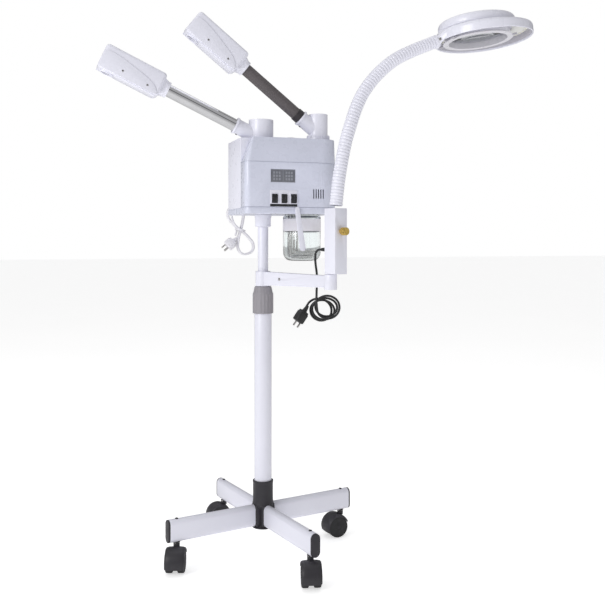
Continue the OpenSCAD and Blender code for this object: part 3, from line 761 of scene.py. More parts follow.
class STEAMER_OT_stand(SteamerOperator, bpy.types.Operator):
    """Makes the hub with its flared foot, the legs, their caps and screws, and the outer column
    with its bush.
    """

    bl_idname = "steamer.stand"
    bl_label = "Stand"

    def execute(self, context):
        softened("legs", "stand", "white_powder_coat", 0.0005)
        softened("leg_caps", "stand", "black_plastic", 0.0011)
        foot, top = (corner.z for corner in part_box("base_hub"))
        bm = bmesh.new()
        add_lathe(bm, [(0.0, 0.1105), (0.0202, 0.1105), (0.0202, top - 0.0006), (0.0208, top),
                       (0.0226, top), (0.0237, top - 0.0010), (0.0237, top - 0.0046),
                       (0.0231, top - 0.0060), (0.0231, 0.1210), (0.0240, 0.1140),
                       (0.0246, 0.1115), (0.0228, 0.1078), (0.0186, 0.1010), (0.0158, 0.0930),
                       (0.0144, 0.0840), (0.0144, 0.0760), (0.0158, 0.0690), (0.0186, 0.0638),
                       (0.0232, 0.0606), (0.0250, 0.0598), (0.0255, 0.0588), (0.0248, foot),
                       (0.0, foot)], Matrix.Identity(4), 72)
        for i in range(1, 5):
            add_block(bm, (0.0250, 0.0262, 0.0500),
                      leg_place(i) @ Matrix.Translation((0.0128, 0, 0.0870)), 0.0050, 4)
        dress(piece_from(bm, "hub_moulded"), "stand", "black_plastic", None, ["base_hub"])
        bm = bmesh.new()
        for i in range(1, 5):
            add_screw(bm, leg_place(i) @ Matrix.Translation((LEG_END, 0, LEG_TOP)), 0.0036, 0.0016)
        dress(piece_from(bm, "leg_screws"), "stand", "black_plastic")
        softened("outer_column", "stand", "white_powder_coat", 0.0004)
        softened("column_bush", "stand", "white_moulding", 0.0003)
        return {"FINISHED"}


class STEAMER_OT_castors(SteamerOperator, bpy.types.Operator):
    """Makes four twin-wheel castors, each under its own hood."""

    bl_idname = "steamer.castors"
    bl_label = "Castors"

    def execute(self, context):
        wheel = [(0.0042, 0.0), (0.0225, 0.0), (0.0241, 0.0005), (0.0249, 0.0020), (0.0250, 0.0045),
                 (0.0250, 0.0100), (0.0248, 0.0124), (0.0240, 0.0140), (0.0226, 0.0146),
                 (0.0214, 0.0144), (0.0206, 0.0136), (0.0190, 0.0132), (0.0092, 0.0140),
                 (0.0080, 0.0148), (0.0060, 0.0152), (0.0042, 0.0152), (0.0042, 0.0)]
        hood = [(0.0262, -0.0188), (0.0262, 0.0188), (0.0242, 0.0212), (0.0262, 0.0214),
                (0.0280, 0.0196), (0.0292, 0.0150), (0.0297, 0.0080), (0.0298, 0.0),
                (0.0297, -0.0080), (0.0292, -0.0150), (0.0280, -0.0196), (0.0262, -0.0214),
                (0.0242, -0.0212)]
        for i in range(1, 5):
            place = castor_place(i)
            bm = bmesh.new()
            for side in (0, math.pi):
                add_lathe(bm, wheel, place @ Matrix.Rotation(side, 4, "X")
                          @ Matrix.Translation((0, 0, 0.0057)), 64)
            dress(piece_from(bm, f"castor_treads_{i}"), f"wheels_{i}", "black_plastic",
                  finish_of("tread_black"), [f"castor_wheels_{i}"])
            softened(f"castor_hood_{i}", f"castor_{i}", "black_plastic", 0.0005)
            bm = bmesh.new()
            add_sector(bm, hood, place, math.radians(-22), math.radians(176), 44)
            for side in (-1, 1):
                add_lathe(bm, [(0.0, 0.0), (0.0040, 0.0), (0.0040, 0.0034), (0.0034, 0.0042),
                               (0.0, 0.0044)],
                          place @ Matrix.Rotation(math.pi if side < 0 else 0.0, 4, "X")
                          @ Matrix.Translation((0, 0, 0.0170)), 24)
            dress(piece_from(bm, f"castor_cowl_{i}"), f"castor_{i}", "black_plastic")
            stem = Vector(JOINTS[f"castor_swivel_{i}"]["pos_m"])
            bm = bmesh.new()
            add_lathe(bm, [(0.0048, 0.0), (0.0078, 0.0), (0.0080, 0.0006), (0.0078, 0.0012),
                           (0.0048, 0.0012), (0.0048, 0.0)],
                      Matrix.Translation((stem.x, stem.y, LEG_UNDER - 0.0016)), 32)
            dress(piece_from(bm, f"castor_washer_{i}"), f"castor_{i}", "steel")
        return {"FINISHED"}


# ---------------------------------------------------------------- column and lamp bracket
class STEAMER_OT_column(SteamerOperator, bpy.types.Operator):
    """Makes the fluted clamp collar, the sliding pole and its socket."""

    bl_idname = "steamer.column"
    bl_label = "Column"

    def execute(self, context):
        low, high = (corner.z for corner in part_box("clamp_collar"))
        bm = bmesh.new()
        flutes, across = 18, 8
        rings = [(low, 0.0206, 0.0), (low, 0.0232, 0.0), (low + 0.0012, 0.0240, 0.0),
                 (low + 0.0024, 0.0240, 0.0009), (low + 0.0430, 0.0240, 0.0011),
                 (low + 0.0460, 0.0236, 0.0007), (low + 0.0475, 0.0226, 0.0001),
                 (high - 0.0014, 0.0196, 0.0), (high, 0.0184, 0.0), (high, 0.0126, 0.0),
                 (high - 0.0120, 0.0126, 0.0)]
        count = flutes * across
        made = []
        for z, r, depth in rings:
            ring = []
            for step in range(count):
                phase = (step % across) / across
                dip = depth * (0.5 - 0.5 * math.cos(math.tau * phase)) ** 0.6
                a = math.tau * step / count
                ring.append(bm.verts.new(((r - dip) * math.cos(a), (r - dip) * math.sin(a), z)))
            made.append(ring)
        for a, b in zip(made, made[1:]):
            for step in range(count):
                after = (step + 1) % count
                bm.faces.new((a[step], a[after], b[after], b[step]))
        dress(piece_from(bm, "collar_fluted", 28.0), "collar", "collar_grey", None,
              ["clamp_collar"])
        softened("inner_column", "steamer", "white_powder_coat", 0.0003)
        foot, top = (corner.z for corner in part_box("pole_socket"))
        lathe = lathe_piece("pole_socket_moulded", [
            (0.0121, foot), (0.0172, foot), (0.0181, foot + 0.0010), (0.0181, top - 0.0080),
            (0.0190, top - 0.0066), (0.0196, top - 0.0004), (0.0121, top - 0.0002),
            (0.0121, foot)], Matrix.Identity(4), 72)
        dress(lathe, "steamer", "white_powder_coat", None, ["pole_socket"])
        return {"FINISHED"}


ARM_AXIS = Vector(JOINTS["clamp_knob_turn"]["axis"])
ARM_PLACE = Matrix.Rotation(math.atan2(ARM_AXIS.y, ARM_AXIS.x), 4, "Z")


class STEAMER_OT_lamp_stand(SteamerOperator, bpy.types.Operator):
    """Makes the swinging bracket, the square post and its brass clamp knob."""

    bl_idname = "steamer.lamp_stand"
    bl_label = "Lamp stand"

    def execute(self, context):
        softened("lamp_bracket", "bracket", "white_powder_coat", 0.0012)
        softened("lamp_post", "post", "white_powder_coat", 0.0016)
        middle = centre("bracket_screw")
        bm = bmesh.new()
        for side in (-1, 1):
            out = ARM_PLACE @ Vector((0, side, 0))
            add_screw(bm, turn_to(out, middle + out * 0.0088), 0.0036, 0.0013)
        dress(piece_from(bm, "bracket_screw_heads"), "bracket", "steel", None, ["bracket_screw"])
        start = Vector(JOINTS["clamp_knob_turn"]["pos_m"])
        bm = bmesh.new()
        place = turn_to(ARM_AXIS, start)
        add_lathe(bm, [(0.0, -0.0075), (0.0030, -0.0075), (0.0030, 0.0004), (0.0052, 0.0004),
                       (0.0055, 0.0012), (0.0055, 0.0036), (0.0052, 0.0042), (0.0, 0.0044)],
                  place, 32)
        knurls, made = 36, []
        for z, r, depth in ((0.0040, 0.0050, 0.0), (0.0042, 0.0072, 0.0), (0.0050, 0.0080, 0.0),
                            (0.0056, 0.0082, 0.0005), (0.0166, 0.0082, 0.0005),
                            (0.0172, 0.0080, 0.0), (0.0181, 0.0070, 0.0), (0.0181, 0.0046, 0.0),
                            (0.0176, 0.0040, 0.0), (0.0176, 0.0001, 0.0)):
            made.append([bm.verts.new((
                (r - (depth if s % 2 else 0.0)) * math.cos(math.pi * s / knurls),
                (r - (depth if s % 2 else 0.0)) * math.sin(math.pi * s / knurls),
                z)) for s in range(2 * knurls)])
        for a, b in zip(made, made[1:]):
            for s in range(2 * knurls):
                t = (s + 1) % (2 * knurls)
                bm.faces.new((a[s], a[t], b[t], b[s]))
        bm.faces.new(reversed(made[0]))
        bm.faces.new(made[-1])
        bmesh.ops.transform(bm, matrix=place, verts=[v for ring in made for v in ring])
        dress(piece_from(bm, "knob_knurled", 25.0), "knob", "brass", None, ["clamp_knob"])
        return {"FINISHED"}


# ---------------------------------------------------------------- steam arms
TUBE_R, TUBE_END, HEAD_END = 0.014, 0.167, 0.325


def arm_place(kind):
    """A steam arm's own frame: +X outwards along the tube from the turret's mouth, +Z up."""
    roll = JOINTS[f"{kind}_head_roll"]
    x = Vector(roll["axis"]).normalized()
    y = UP.cross(x).normalized()
    mouth = Vector(roll["pos_m"]) - x * 0.180
    return Matrix.Translation(mouth) @ Matrix((x, y, x.cross(y))).transposed().to_4x4()


def plate_outline():
    """Side view of a head's service cover, from the tip round to the tube."""
    return [(0.3240, -0.0275), (0.3246, -0.0060), (0.3230, 0.0090), (0.3160, 0.0132),
            (0.3020, 0.0142), (0.2880, 0.0130), (0.2640, 0.0086), (0.2440, 0.0046),
            (0.2260, 0.0008), (0.2140, -0.0022), (0.2030, -0.0068), (0.1945, -0.0134),
            (0.1895, -0.0200), (0.1880, -0.0275)]


def head_pieces(kind, place):
    """A nozzle head: softened box with its bore, arched service cover, screws and rims."""
    body = f"{kind}_nozzle"
    softened(f"{kind}_head", body, "white_moulding", 0.0008)
    bm = bmesh.new()
    for side in (-1, 1):
        verts = [bm.verts.new((x, side * 0.0225, z)) for x, z in plate_outline()]
        face = bm.faces.new(verts)
        out = bmesh.ops.extrude_face_region(bm, geom=[face])
        fresh = [v for v in out["geom"] if isinstance(v, bmesh.types.BMVert)]
        bmesh.ops.translate(bm, vec=(0, side * 0.0032, 0), verts=fresh)
        rim = [e for e in bm.edges if all(v in fresh for v in e.verts)]
        bevel(bm, rim, 0.0011, 3)
    add_block(bm, (0.0930, 0.0400, 0.0040), Matrix.Translation((0.2375, 0, -0.0275)), 0.0014, 3)
    bmesh.ops.transform(bm, matrix=place, verts=bm.verts[:])
    dress(piece_from(bm, f"{kind}_service_cover", 50.0), body, "white_moulding")
    bm = bmesh.new()
    for side in (-1, 1):
        for x, z in ((0.272, -0.0136), (0.213, -0.0165)):
            add_screw(bm, place @ turn_to((0, side, 0), (x, side * 0.0256, z), (0, 0, 1)), 0.0024,
                      0.0009)
    dress(piece_from(bm, f"{kind}_cover_screws"), body, "steel")
    bm = bmesh.new()
    add_lathe(bm, [(0.0112, 0.0), (0.0112, -0.0045), (0.0120, -0.0053), (0.0134, -0.0053),
                   (0.0142, -0.0045), (0.0142, 0.0), (0.0112, 0.0)],
              place @ Matrix.Translation((0.301, 0, -0.0262)), 64)
    add_lathe(bm, [(0.0142, 0.0), (0.0176, 0.0), (0.0182, 0.0006), (0.0182, 0.0060),
                   (0.0176, 0.0068), (0.0142, 0.0068), (0.0142, 0.0)],
              place @ turn_to((1, 0, 0), (TUBE_END + 0.0003, 0, 0)), 64)
    dress(piece_from(bm, f"{kind}_head_rims"), body, "white_moulding")


def tube_piece(name, place, radius, start, end, body, slot, finish, nodes):
    """A tube with a wall, its ends slightly rolled in."""
    bm = bmesh.new()
    add_lathe(bm, [(radius - 0.0014, start), (radius - 0.0004, start), (radius, start + 0.0005),
                   (radius, end - 0.0005), (radius - 0.0004, end), (radius - 0.0014, end),
                   (radius - 0.0014, start)], place @ turn_to((1, 0, 0)), 96)
    return dress(piece_from(bm, name), body, slot, finish, nodes)


class STEAMER_OT_arms(SteamerOperator, bpy.types.Operator):
    """Makes both steam arms: turret, tube, nozzle head, service cover, screws and rims."""

    bl_idname = "steamer.arms"
    bl_label = "Steam arms"

    def execute(self, context):
        for kind in ("hot", "cold"):
            place = arm_place(kind)
            arm = f"{kind}_arm"
            softened(f"{kind}_turret", arm, "white_moulding", 0.0016)
            bm = bmesh.new()
            add_lathe(bm, [(0.0142, -0.0005), (0.0142, -0.0030), (0.0187, -0.0030),
                           (0.0193, -0.0024), (0.0193, 0.0000), (0.0187, 0.0010),
                           (0.0150, 0.0012), (0.0142, -0.0005)], place @ turn_to((1, 0, 0)), 72)
            dress(piece_from(bm, f"{kind}_mouth_lip"), arm, "white_moulding")
            bm = bmesh.new()
            add_screw(bm, place @ turn_to((0, 0, -1), (-0.0105, 0, -0.0168), (1, 0, 0)), 0.0026)
            dress(piece_from(bm, f"{kind}_mouth_screw"), arm, "black_plastic")
            if kind == "hot":
                tube_piece("hot_tube_chromed", place, TUBE_R, -0.0195, TUBE_END + 0.016, arm,
                           "chrome", finish_of("chrome"), ["hot_tube"])
            else:
                weave = woven_sleeve("woven_sleeve", tint("sleeve"), place)
                tube_piece("cold_tube_braided", place, TUBE_R, -0.0195, TUBE_END + 0.016, arm,
                           "dark_mesh_tube", weave, ["cold_tube"])
                tube_piece("cold_tube_cuff", place, TUBE_R + 0.0016, 0.0010, 0.0150, arm,
                           "dark_mesh_tube", finish_of("cuff"), [])
                self.foot_ribs()
            head_pieces(kind, place)
        return {"FINISHED"}

    def foot_ribs(self):
        """Fine grip ribs round the cold turret's foot."""
        axis = Vector(JOINTS["cold_arm_swivel"]["pos_m"])
        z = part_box("cold_turret")[0].z
        base = max(z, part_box("rear_shell")[1].z + 0.0003)
        bm = bmesh.new()
        add_lathe(bm, [(0.0215, base), (0.0258, base), (0.0258, base + 0.0118),
                       (0.0252, base + 0.0128), (0.0215, base + 0.0130), (0.0215, base)],
                  Matrix.Translation((axis.x, axis.y, 0)), 72)
        for rib in range(40):
            a = math.tau * rib / 40
            add_block(bm, (0.0016, 0.0015, 0.0100),
                      Matrix.Translation((axis.x, axis.y, base + 0.0062))
                      @ Matrix.Rotation(a, 4, "Z") @ Matrix.Translation((0.0259, 0, 0)))
        dress(piece_from(bm, "cold_foot_ring"), "cold_arm", "white_moulding")


# ---------------------------------------------------------------- jar, heater and cap
class STEAMER_OT_jar(SteamerOperator, bpy.types.Operator):
    """Makes the glass jar with its pale band, the steel heater coils, the lever and the cap."""

    bl_idname = "steamer.jar"
    bl_label = "Jar"

    def execute(self, context):
        low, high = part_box("water_jar")
        x, y = centre("water_jar").xy
        r = (high.x - low.x) / 2
        foot, top = low.z, high.z
        neck = 0.0395
        seat = 0.778
        outer = [(0.0, foot + 0.0008), (r - 0.018, foot), (r - 0.0135, foot + 0.0006),
                 (r - 0.0080, foot + 0.0030), (r - 0.0035, foot + 0.0078),
                 (r - 0.0008, foot + 0.0136),
                 (r, foot + 0.0190), (r, seat - 0.0050), (r - 0.0012, seat - 0.0018),
                 (neck + 0.0008, seat), (neck, seat + 0.0012), (neck, top - 0.0006),
                 (neck - 0.0010, top)]
        inner = [(neck - 0.0022, top), (neck - 0.0028, top - 0.0008),
        (neck - 0.0028, seat - 0.0008),
                 (neck - 0.0010, seat - 0.0030), (r - 0.0032, seat - 0.0062),
                 (r - 0.0032, foot + 0.0196), (r - 0.0042, foot + 0.0148),
                 (r - 0.0066, foot + 0.0096),
                 (r - 0.0105, foot + 0.0060), (r - 0.0155, foot + 0.0042),
                 (r - 0.020, foot + 0.0038),
                 (0.0, foot + 0.0044)]
        place = Matrix.Translation((x, y, 0))
        glass = lathe_piece("jar_blown", outer + inner, place, 96, 50.0)
        dress(glass, "jar", "jar_glass", None, ["water_jar"])
        band_r = r + 0.0004
        band = lathe_piece("jar_band", [(band_r - 0.0002, 0.7410), (band_r, 0.7408),
                                        (band_r, 0.7692), (band_r - 0.0002, 0.7690),
                                        (band_r - 0.0002, 0.7410)], place, 96)
        dress(band, "jar", "jar_glass", finish_of("frosted_band"))
        self.heater(x, y)
        softened("jar_lever", "lever", "white_moulding", 0.0012)
        self.cap()
        return {"FINISHED"}

    def heater(self, x, y):
        """Three steel rods bent down, along and round, hung from one flange."""
        shaft, flange = 0.0026, 0.793
        bm = bmesh.new()
        add_lathe(bm, [(0.0, flange), (0.0445, flange), (0.0450, flange + 0.0006),
                       (0.0450, flange + 0.0044), (0.0445, flange + 0.0050),
                       (0.0, flange + 0.0050)],
                  Matrix.Translation((x, y, 0)), 64)
        for i in range(3):
            half, start, level = 0.010 + 0.002 * i, -0.030 + 0.007 * i, 0.680 + 0.0075 * i
            turn = 0.0065
            line = [Vector((start, -half, flange + 0.001)), Vector((start, -half, 0.740))]
            for step in range(7):
                a = math.pi / 2 * step / 6
                line.append(Vector((start + turn * (1 - math.cos(a)), -half,
                                    level + turn * (1 - math.sin(a)))))
            for step in range(17):
                a = -math.pi / 2 + math.pi * step / 16
                line.append(Vector((0.018 + half * math.cos(a), half * math.sin(a), level)))
            for step in range(7):
                a = math.pi / 2 * (1 - step / 6)
                line.append(Vector((start + turn * (1 - math.cos(a)), half,
                                    level + turn * (1 - math.sin(a)))))
            line += [Vector((start, half, 0.740)), Vector((start, half, flange + 0.001))]
            for j in (0, -1):
                at = line[j]
                add_lathe(bm, [(0.0, 0.0), (0.0048, 0.0), (0.0048, -0.0040), (0.0042, -0.0046),
                               (0.0, -0.0046)], Matrix.Translation((x + at.x, y + at.y, flange)),
                          18)
            add_sweep(bm, [p + Vector((x, y, 0)) for p in line], shaft, 20)
        dress(piece_from(bm, "heater_rods"), "steamer", "steel", None, ["heater_element"])

    def cap(self):
        """The filler cap: stepped, domed, with a plug that drops into its hole."""
        low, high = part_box("filler_cap")
        x, y = centre("filler_cap").xy
        top = high.z
        profile = [(0.0, low.z), (0.0200, low.z), (0.0200, 0.9500), (0.0262, 0.9503),
                   (0.0270, 0.9511), (0.0270, 0.9542), (0.0264, 0.9551), (0.0224, 0.9556),
                   (0.0218, 0.9562), (0.0180, top - 0.0030), (0.0120, top - 0.0010),
                   (0.0060, top - 0.0002), (0.0, top)]
        cap = lathe_piece("filler_cap_domed", profile, Matrix.Translation((x, y, 0)), 72, 40.0)
        dress(cap, "cap", "white_moulding", None, ["filler_cap"])


def add_sweep(bm, line, radius, steps=16):
    """Adds a round bar along a line of points, its ends closed."""
    rings = []
    side = None
    for i, point in enumerate(line):
        ahead = (line[min(i + 1, len(line) - 1)] - line[max(i - 1, 0)]).normalized()
        if side is None:
            side = ahead.orthogonal().normalized()
        side = (side - ahead * side.dot(ahead)).normalized()
        other = ahead.cross(side)
        size = radius[i] if isinstance(radius, (list, tuple)) else radius
        rings.append([bm.verts.new(point + size * (math.cos(math.tau * s / steps) * side
                                                   + math.sin(math.tau * s / steps) * other))
                      for s in range(steps)])
    for a, b in zip(rings, rings[1:]):
        for s in range(steps):
            t = (s + 1) % steps
            bm.faces.new((a[s], a[t], b[t], b[s]))
    bm.faces.new(reversed(rings[0]))
    bm.faces.new(rings[-1])


# ---------------------------------------------------------------- steamer body
def face_detail(bm, x0, x1, z0, z1, y0, y1, width=0.0008, segments=2):
    """Adds a rounded block between these sides."""
    add_block(bm, (x1 - x0, y1 - y0, z1 - z0),
              Matrix.Translation(((x0 + x1) / 2, (y0 + y1) / 2, (z0 + z1) / 2)), width, segments)


class STEAMER_OT_body(SteamerOperator, bpy.types.Operator):
    """Makes the body's mouldings, its window, switch panel, rockers, seams and rear screws."""

    bl_idname = "steamer.body"
    bl_label = "Body"

    def execute(self, context):
        softened("rear_shell", "steamer", "white_moulding", 0.0022)
        softened("base_tray", "steamer", "front_moulding", 0.0009)
        softened("front_cover", "steamer", "front_moulding", 0.0006)
        softened("upper_cover", "steamer", "front_moulding", 0.0012)
        self.seams()
        self.window()
        self.switches()
        self.rear()
        return {"FINISHED"}

    def seams(self):
        """The rear shell's front face beside the tapered cover, and the fine seam lines."""
        low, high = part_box("rear_shell")
        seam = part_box("front_cover")[1].z
        bm = bmesh.new()
        face_detail(bm, low.x + 0.0008, low.x + 0.0340, seam - 0.0020, high.z - 0.0010,
                    low.y + 0.0002, low.y + 0.0026, 0.0006)
        dress(piece_from(bm, "shell_front_face"), "steamer", "white_moulding")
        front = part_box("front_cover")[0].y
        right, corner, small = high.x, 0.048, 0.012
        line = [Vector((low.x, low.y + 0.0005, 0))]
        for step in range(9):
            a = math.pi + math.pi / 2 * step / 8
            line.append(Vector((low.x + small + small * math.cos(a),
                                front + small + small * math.sin(a), 0)))
        for step in range(17):
            a = -math.pi / 2 + math.pi / 2 * step / 16
            line.append(Vector((right - corner + corner * math.cos(a),
                                front + corner + corner * math.sin(a), 0)))
        bm = bmesh.new()
        for z in (seam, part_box("base_tray")[1].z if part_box("base_tray")[1].z < 0.80 else 0.792):
            add_sweep(bm, [p + Vector((0, 0, z)) for p in line], 0.00055, 8)
        dress(piece_from(bm, "cover_seams"), "steamer", "front_moulding", finish_of("seam_shadow"))

    def window(self):
        """A smoky two-part window in a thin frame."""
        low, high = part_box("display_window")
        middle = (low.x + high.x) / 2
        bm = bmesh.new()
        face_detail(bm, low.x, high.x, low.z, high.z, low.y + 0.0006, high.y, 0.0006)
        dress(piece_from(bm, "window_frame"), "steamer", "window_smoke", finish_of("window_frame"),
              ["display_window"])
        bm = bmesh.new()
        face_detail(bm, low.x + 0.0016, middle - 0.0012, low.z + 0.0018, high.z - 0.0018,
                    low.y - 0.0002, low.y + 0.0014, 0.0004)
        face_detail(bm, middle + 0.0012, high.x - 0.0016, low.z + 0.0018, high.z - 0.0018,
                    low.y - 0.0002, low.y + 0.0014, 0.0004)
        dress(piece_from(bm, "window_panes"), "steamer", "window_smoke")
        bm = bmesh.new()
        for x in (low.x + 0.006, middle + 0.006):
            for column in range(3):
                for row in range(3):
                    face_detail(bm, x + 0.0062 * column, x + 0.0062 * column + 0.0040,
                                low.z + 0.0045 + 0.0072 * row,
                                low.z + 0.0045 + 0.0072 * row + 0.0050,
                                low.y - 0.0006, low.y + 0.0002, 0.0002, 1)
        dress(piece_from(bm, "window_segments"), "steamer", "window_smoke",
              finish_of("window_frame"))

    def switches(self):
        """The white switch plate, its dark strip and three rockers in bezels."""
        low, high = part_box("switch_panel")
        softened("switch_panel", "steamer", "white_moulding", 0.0007)
        bm = bmesh.new()
        face_detail(bm, low.x + 0.0003, high.x - 0.0003, low.z + 0.0003, low.z + 0.0058,
                    low.y - 0.0005, low.y + 0.0010, 0.0003)
        dress(piece_from(bm, "switch_strip"), "steamer", "rocker_black")
        for i in range(1, 4):
            pivot = Vector(JOINTS[f"rocker_tilt_{i}"]["pos_m"])
            bm = bmesh.new()
            for side in (-1, 1):
                face_detail(bm, pivot.x - 0.0080, pivot.x + 0.0080,
                            pivot.z + side * 0.0110 - 0.0007, pivot.z + side * 0.0110 + 0.0007,
                            low.y - 0.0012, low.y + 0.0012, 0.0004)
                face_detail(bm, pivot.x + side * 0.0074 - 0.0006, pivot.x + side * 0.0074 + 0.0006,
                            pivot.z - 0.0112, pivot.z + 0.0112, low.y - 0.0012, low.y + 0.0012,
                            0.0004)
            dress(piece_from(bm, f"rocker_bezel_{i}"), "steamer", "white_moulding")
            softened(f"rocker_{i}", f"switch_{i}", "rocker_black", 0.0007)

    def rear(self):
        """Screws that hold the rear shell, and the rating plate without print."""
        low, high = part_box("rear_shell")
        bm = bmesh.new()
        for x in (low.x + 0.012, high.x - 0.014):
            for z in (low.z + 0.014, high.z - 0.016):
                add_screw(bm, turn_to((0, 1, 0), (x, high.y - 0.0001, z)), 0.0032)
        dress(piece_from(bm, "rear_screws"), "steamer", "steel")
        bm = bmesh.new()
        face_detail(bm, -0.020, 0.040, 0.868, 0.904, high.y - 0.0005, high.y + 0.0003, 0.0002, 1)
        dress(piece_from(bm, "rating_plate"), "steamer", "steel", finish_of("plate_silver"))


# ---------------------------------------------------------------- gooseneck
NECK_JOINTS = ["gooseneck_bend_1", "gooseneck_bend_2", "gooseneck_bend_3", "gooseneck_bend_4",
               "lamp_tilt"]


def neck_line():
    """A smooth line through the gooseneck's pivots, from the post's top to the lamp's yoke."""
    low_x = (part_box("lamp_post")[0].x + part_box("lamp_post")[1].x) / 2
    y = Vector(JOINTS["gooseneck_bend_1"]["pos_m"]).y
    knots = [Vector((low_x, y, 0.786))] + [Vector(JOINTS[n]["pos_m"]) for n in NECK_JOINTS]
    end = knots[-1] + Vector((math.cos(math.radians(12)), 0, math.sin(math.radians(12)))) * 0.007
    knots.append(end)
    points = []
    for i in range(len(knots) - 1):
        before = knots[i - 1] if i else knots[0] - Vector((0.002, 0, 0.05))
        after = knots[i + 2] if i + 2 < len(knots) else knots[-1] * 2 - knots[-2]
        for step in range(24):
            t = step / 24
            points.append(0.5 * ((2 * knots[i]) + (knots[i + 1] - before) * t
                                 + (2 * before - 5 * knots[i] + 4 * knots[i + 1] - after) * t ** 2
                                 + (3 * knots[i] - before - 3 * knots[i + 1] + after) * t ** 3))
    points.append(knots[-1])
    return points


class STEAMER_OT_gooseneck(SteamerOperator, bpy.types.Operator):
    """Makes the ribbed sleeve of the gooseneck as curved spans laid over its links, and the ring at
    its lamp end.
    """

    bl_idname = "steamer.gooseneck"
    bl_label = "Gooseneck"

    def execute(self, context):
        sizes = context.scene.steamer_sizes
        line = neck_line()
        reach = [0.0]
        for a, b in zip(line, line[1:]):
            reach.append(reach[-1] + (b - a).length)

        def at(s):
            s = min(max(s, 0.0), reach[-1])
            k = max(i for i in range(len(reach) - 1) if reach[i] <= s)
            t = (s - reach[k]) / (reach[k + 1] - reach[k])
            ahead = (line[k + 1] - line[k]).normalized()
            if k + 2 < len(line):
                following = (line[k + 2] - line[k + 1]).normalized()
                ahead = (ahead * (1 - t) + following * t).normalized()
            return line[k].lerp(line[k + 1], t), ahead

        pivots = [24 * (i + 1) for i in range(5)]
        marks = [reach[p] for p in pivots]
        cuts = [0.006] + [(marks[i] + marks[i + 1]) / 2 for i in range(4)] + [reach[-1]]
        pitch = sizes.rib_pitch * 0.75
        outer = sizes.rib_radius
        for i in range(5):
            count = max(4, round((cuts[i + 1] - cuts[i]) / pitch))
            step = (cuts[i + 1] - cuts[i]) / count
            stations = []
            for rib in range(count):
                base = cuts[i] + rib * step
                for part, r in ((0.0, 0.91), (0.10, 0.955), (0.28, 0.995), (0.5, 1.0),
                                (0.72, 0.995), (0.90, 0.955)):
                    stations.append((base + part * step, outer * r))
            stations.append((cuts[i + 1], outer * 0.91))
            bm = bmesh.new()
            rings = []
            for s, r in stations:
                point, ahead = at(s)
                side = Vector((0, 1, 0))
                other = ahead.cross(side).normalized()
                rings.append([bm.verts.new(point + r * (math.cos(math.tau * k / 40) * side
                                                        + math.sin(math.tau * k / 40) * other))
                              for k in range(40)])
            for a, b in zip(rings, rings[1:]):
                for k in range(40):
                    n = (k + 1) % 40
                    bm.faces.new((a[k], a[n], b[n], b[k]))
            sleeve = piece_from(bm, f"neck_sleeve_{i + 1}", 70.0)
            sleeve.data.materials.append(finish_of("neck_sleeve"))
            nodes = ["gooseneck_base"] if i == 0 else [f"gooseneck_link_{i}"]
            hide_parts(*nodes)
            a, b = at(marks[i] - 0.015)[0], at(marks[i] + 0.015)[0]
            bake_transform(sleeve)
        self.end_ring(at, reach[-1])
        return {"FINISHED"}

    def end_ring(self, at, end):
        """The ring at the lamp's end of the sleeve."""
        point, ahead = at(end)
        ring = lathe_piece("neck_end_ring", [
            (0.0080, -0.0040), (0.0140, -0.0040), (0.0146, -0.0032), (0.0146, 0.0036),
            (0.0138, 0.0046), (0.0080, 0.0046), (0.0080, -0.0040)], turn_to(ahead, point), 56)
        dress(ring, "lamp", "lamp_moulding")


# ---------------------------------------------------------------- lamp head
LENS_SHIFT = -0.015


def lamp_place():
    """The lamp head's own frame: origin at its middle, +X away from the gooseneck, +Z up."""
    low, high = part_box("led_board")
    middle = (low + high) / 2
    turn = (Matrix.Rotation(math.radians(-5.0), 4, "Y")
            @ Matrix.Rotation(math.radians(-3.0), 4, "X"))
    return Matrix.Translation(middle - (turn @ Vector((0, 0, 0.0066)))) @ turn


def shifted_lathe(name, profile, place, steps=128, angle=30.0):
    """A turned shell whose profile points (radius, height, share) slide toward the lens."""
    bm = bmesh.new()
    rings = []
    for r, z, share in profile:
        rings.append([bm.verts.new((r * math.cos(math.tau * k / steps) + share * LENS_SHIFT,
                                    r * math.sin(math.tau * k / steps), z))
                      for k in range(steps)])
    for a, b in zip(rings, rings[1:] + rings[:1]):
        for k in range(steps):
            n = (k + 1) % steps
            bm.faces.new((a[k], a[n], b[n], b[k]))
    bmesh.ops.transform(bm, matrix=place, verts=bm.verts[:])
    return piece_from(bm, name, angle)


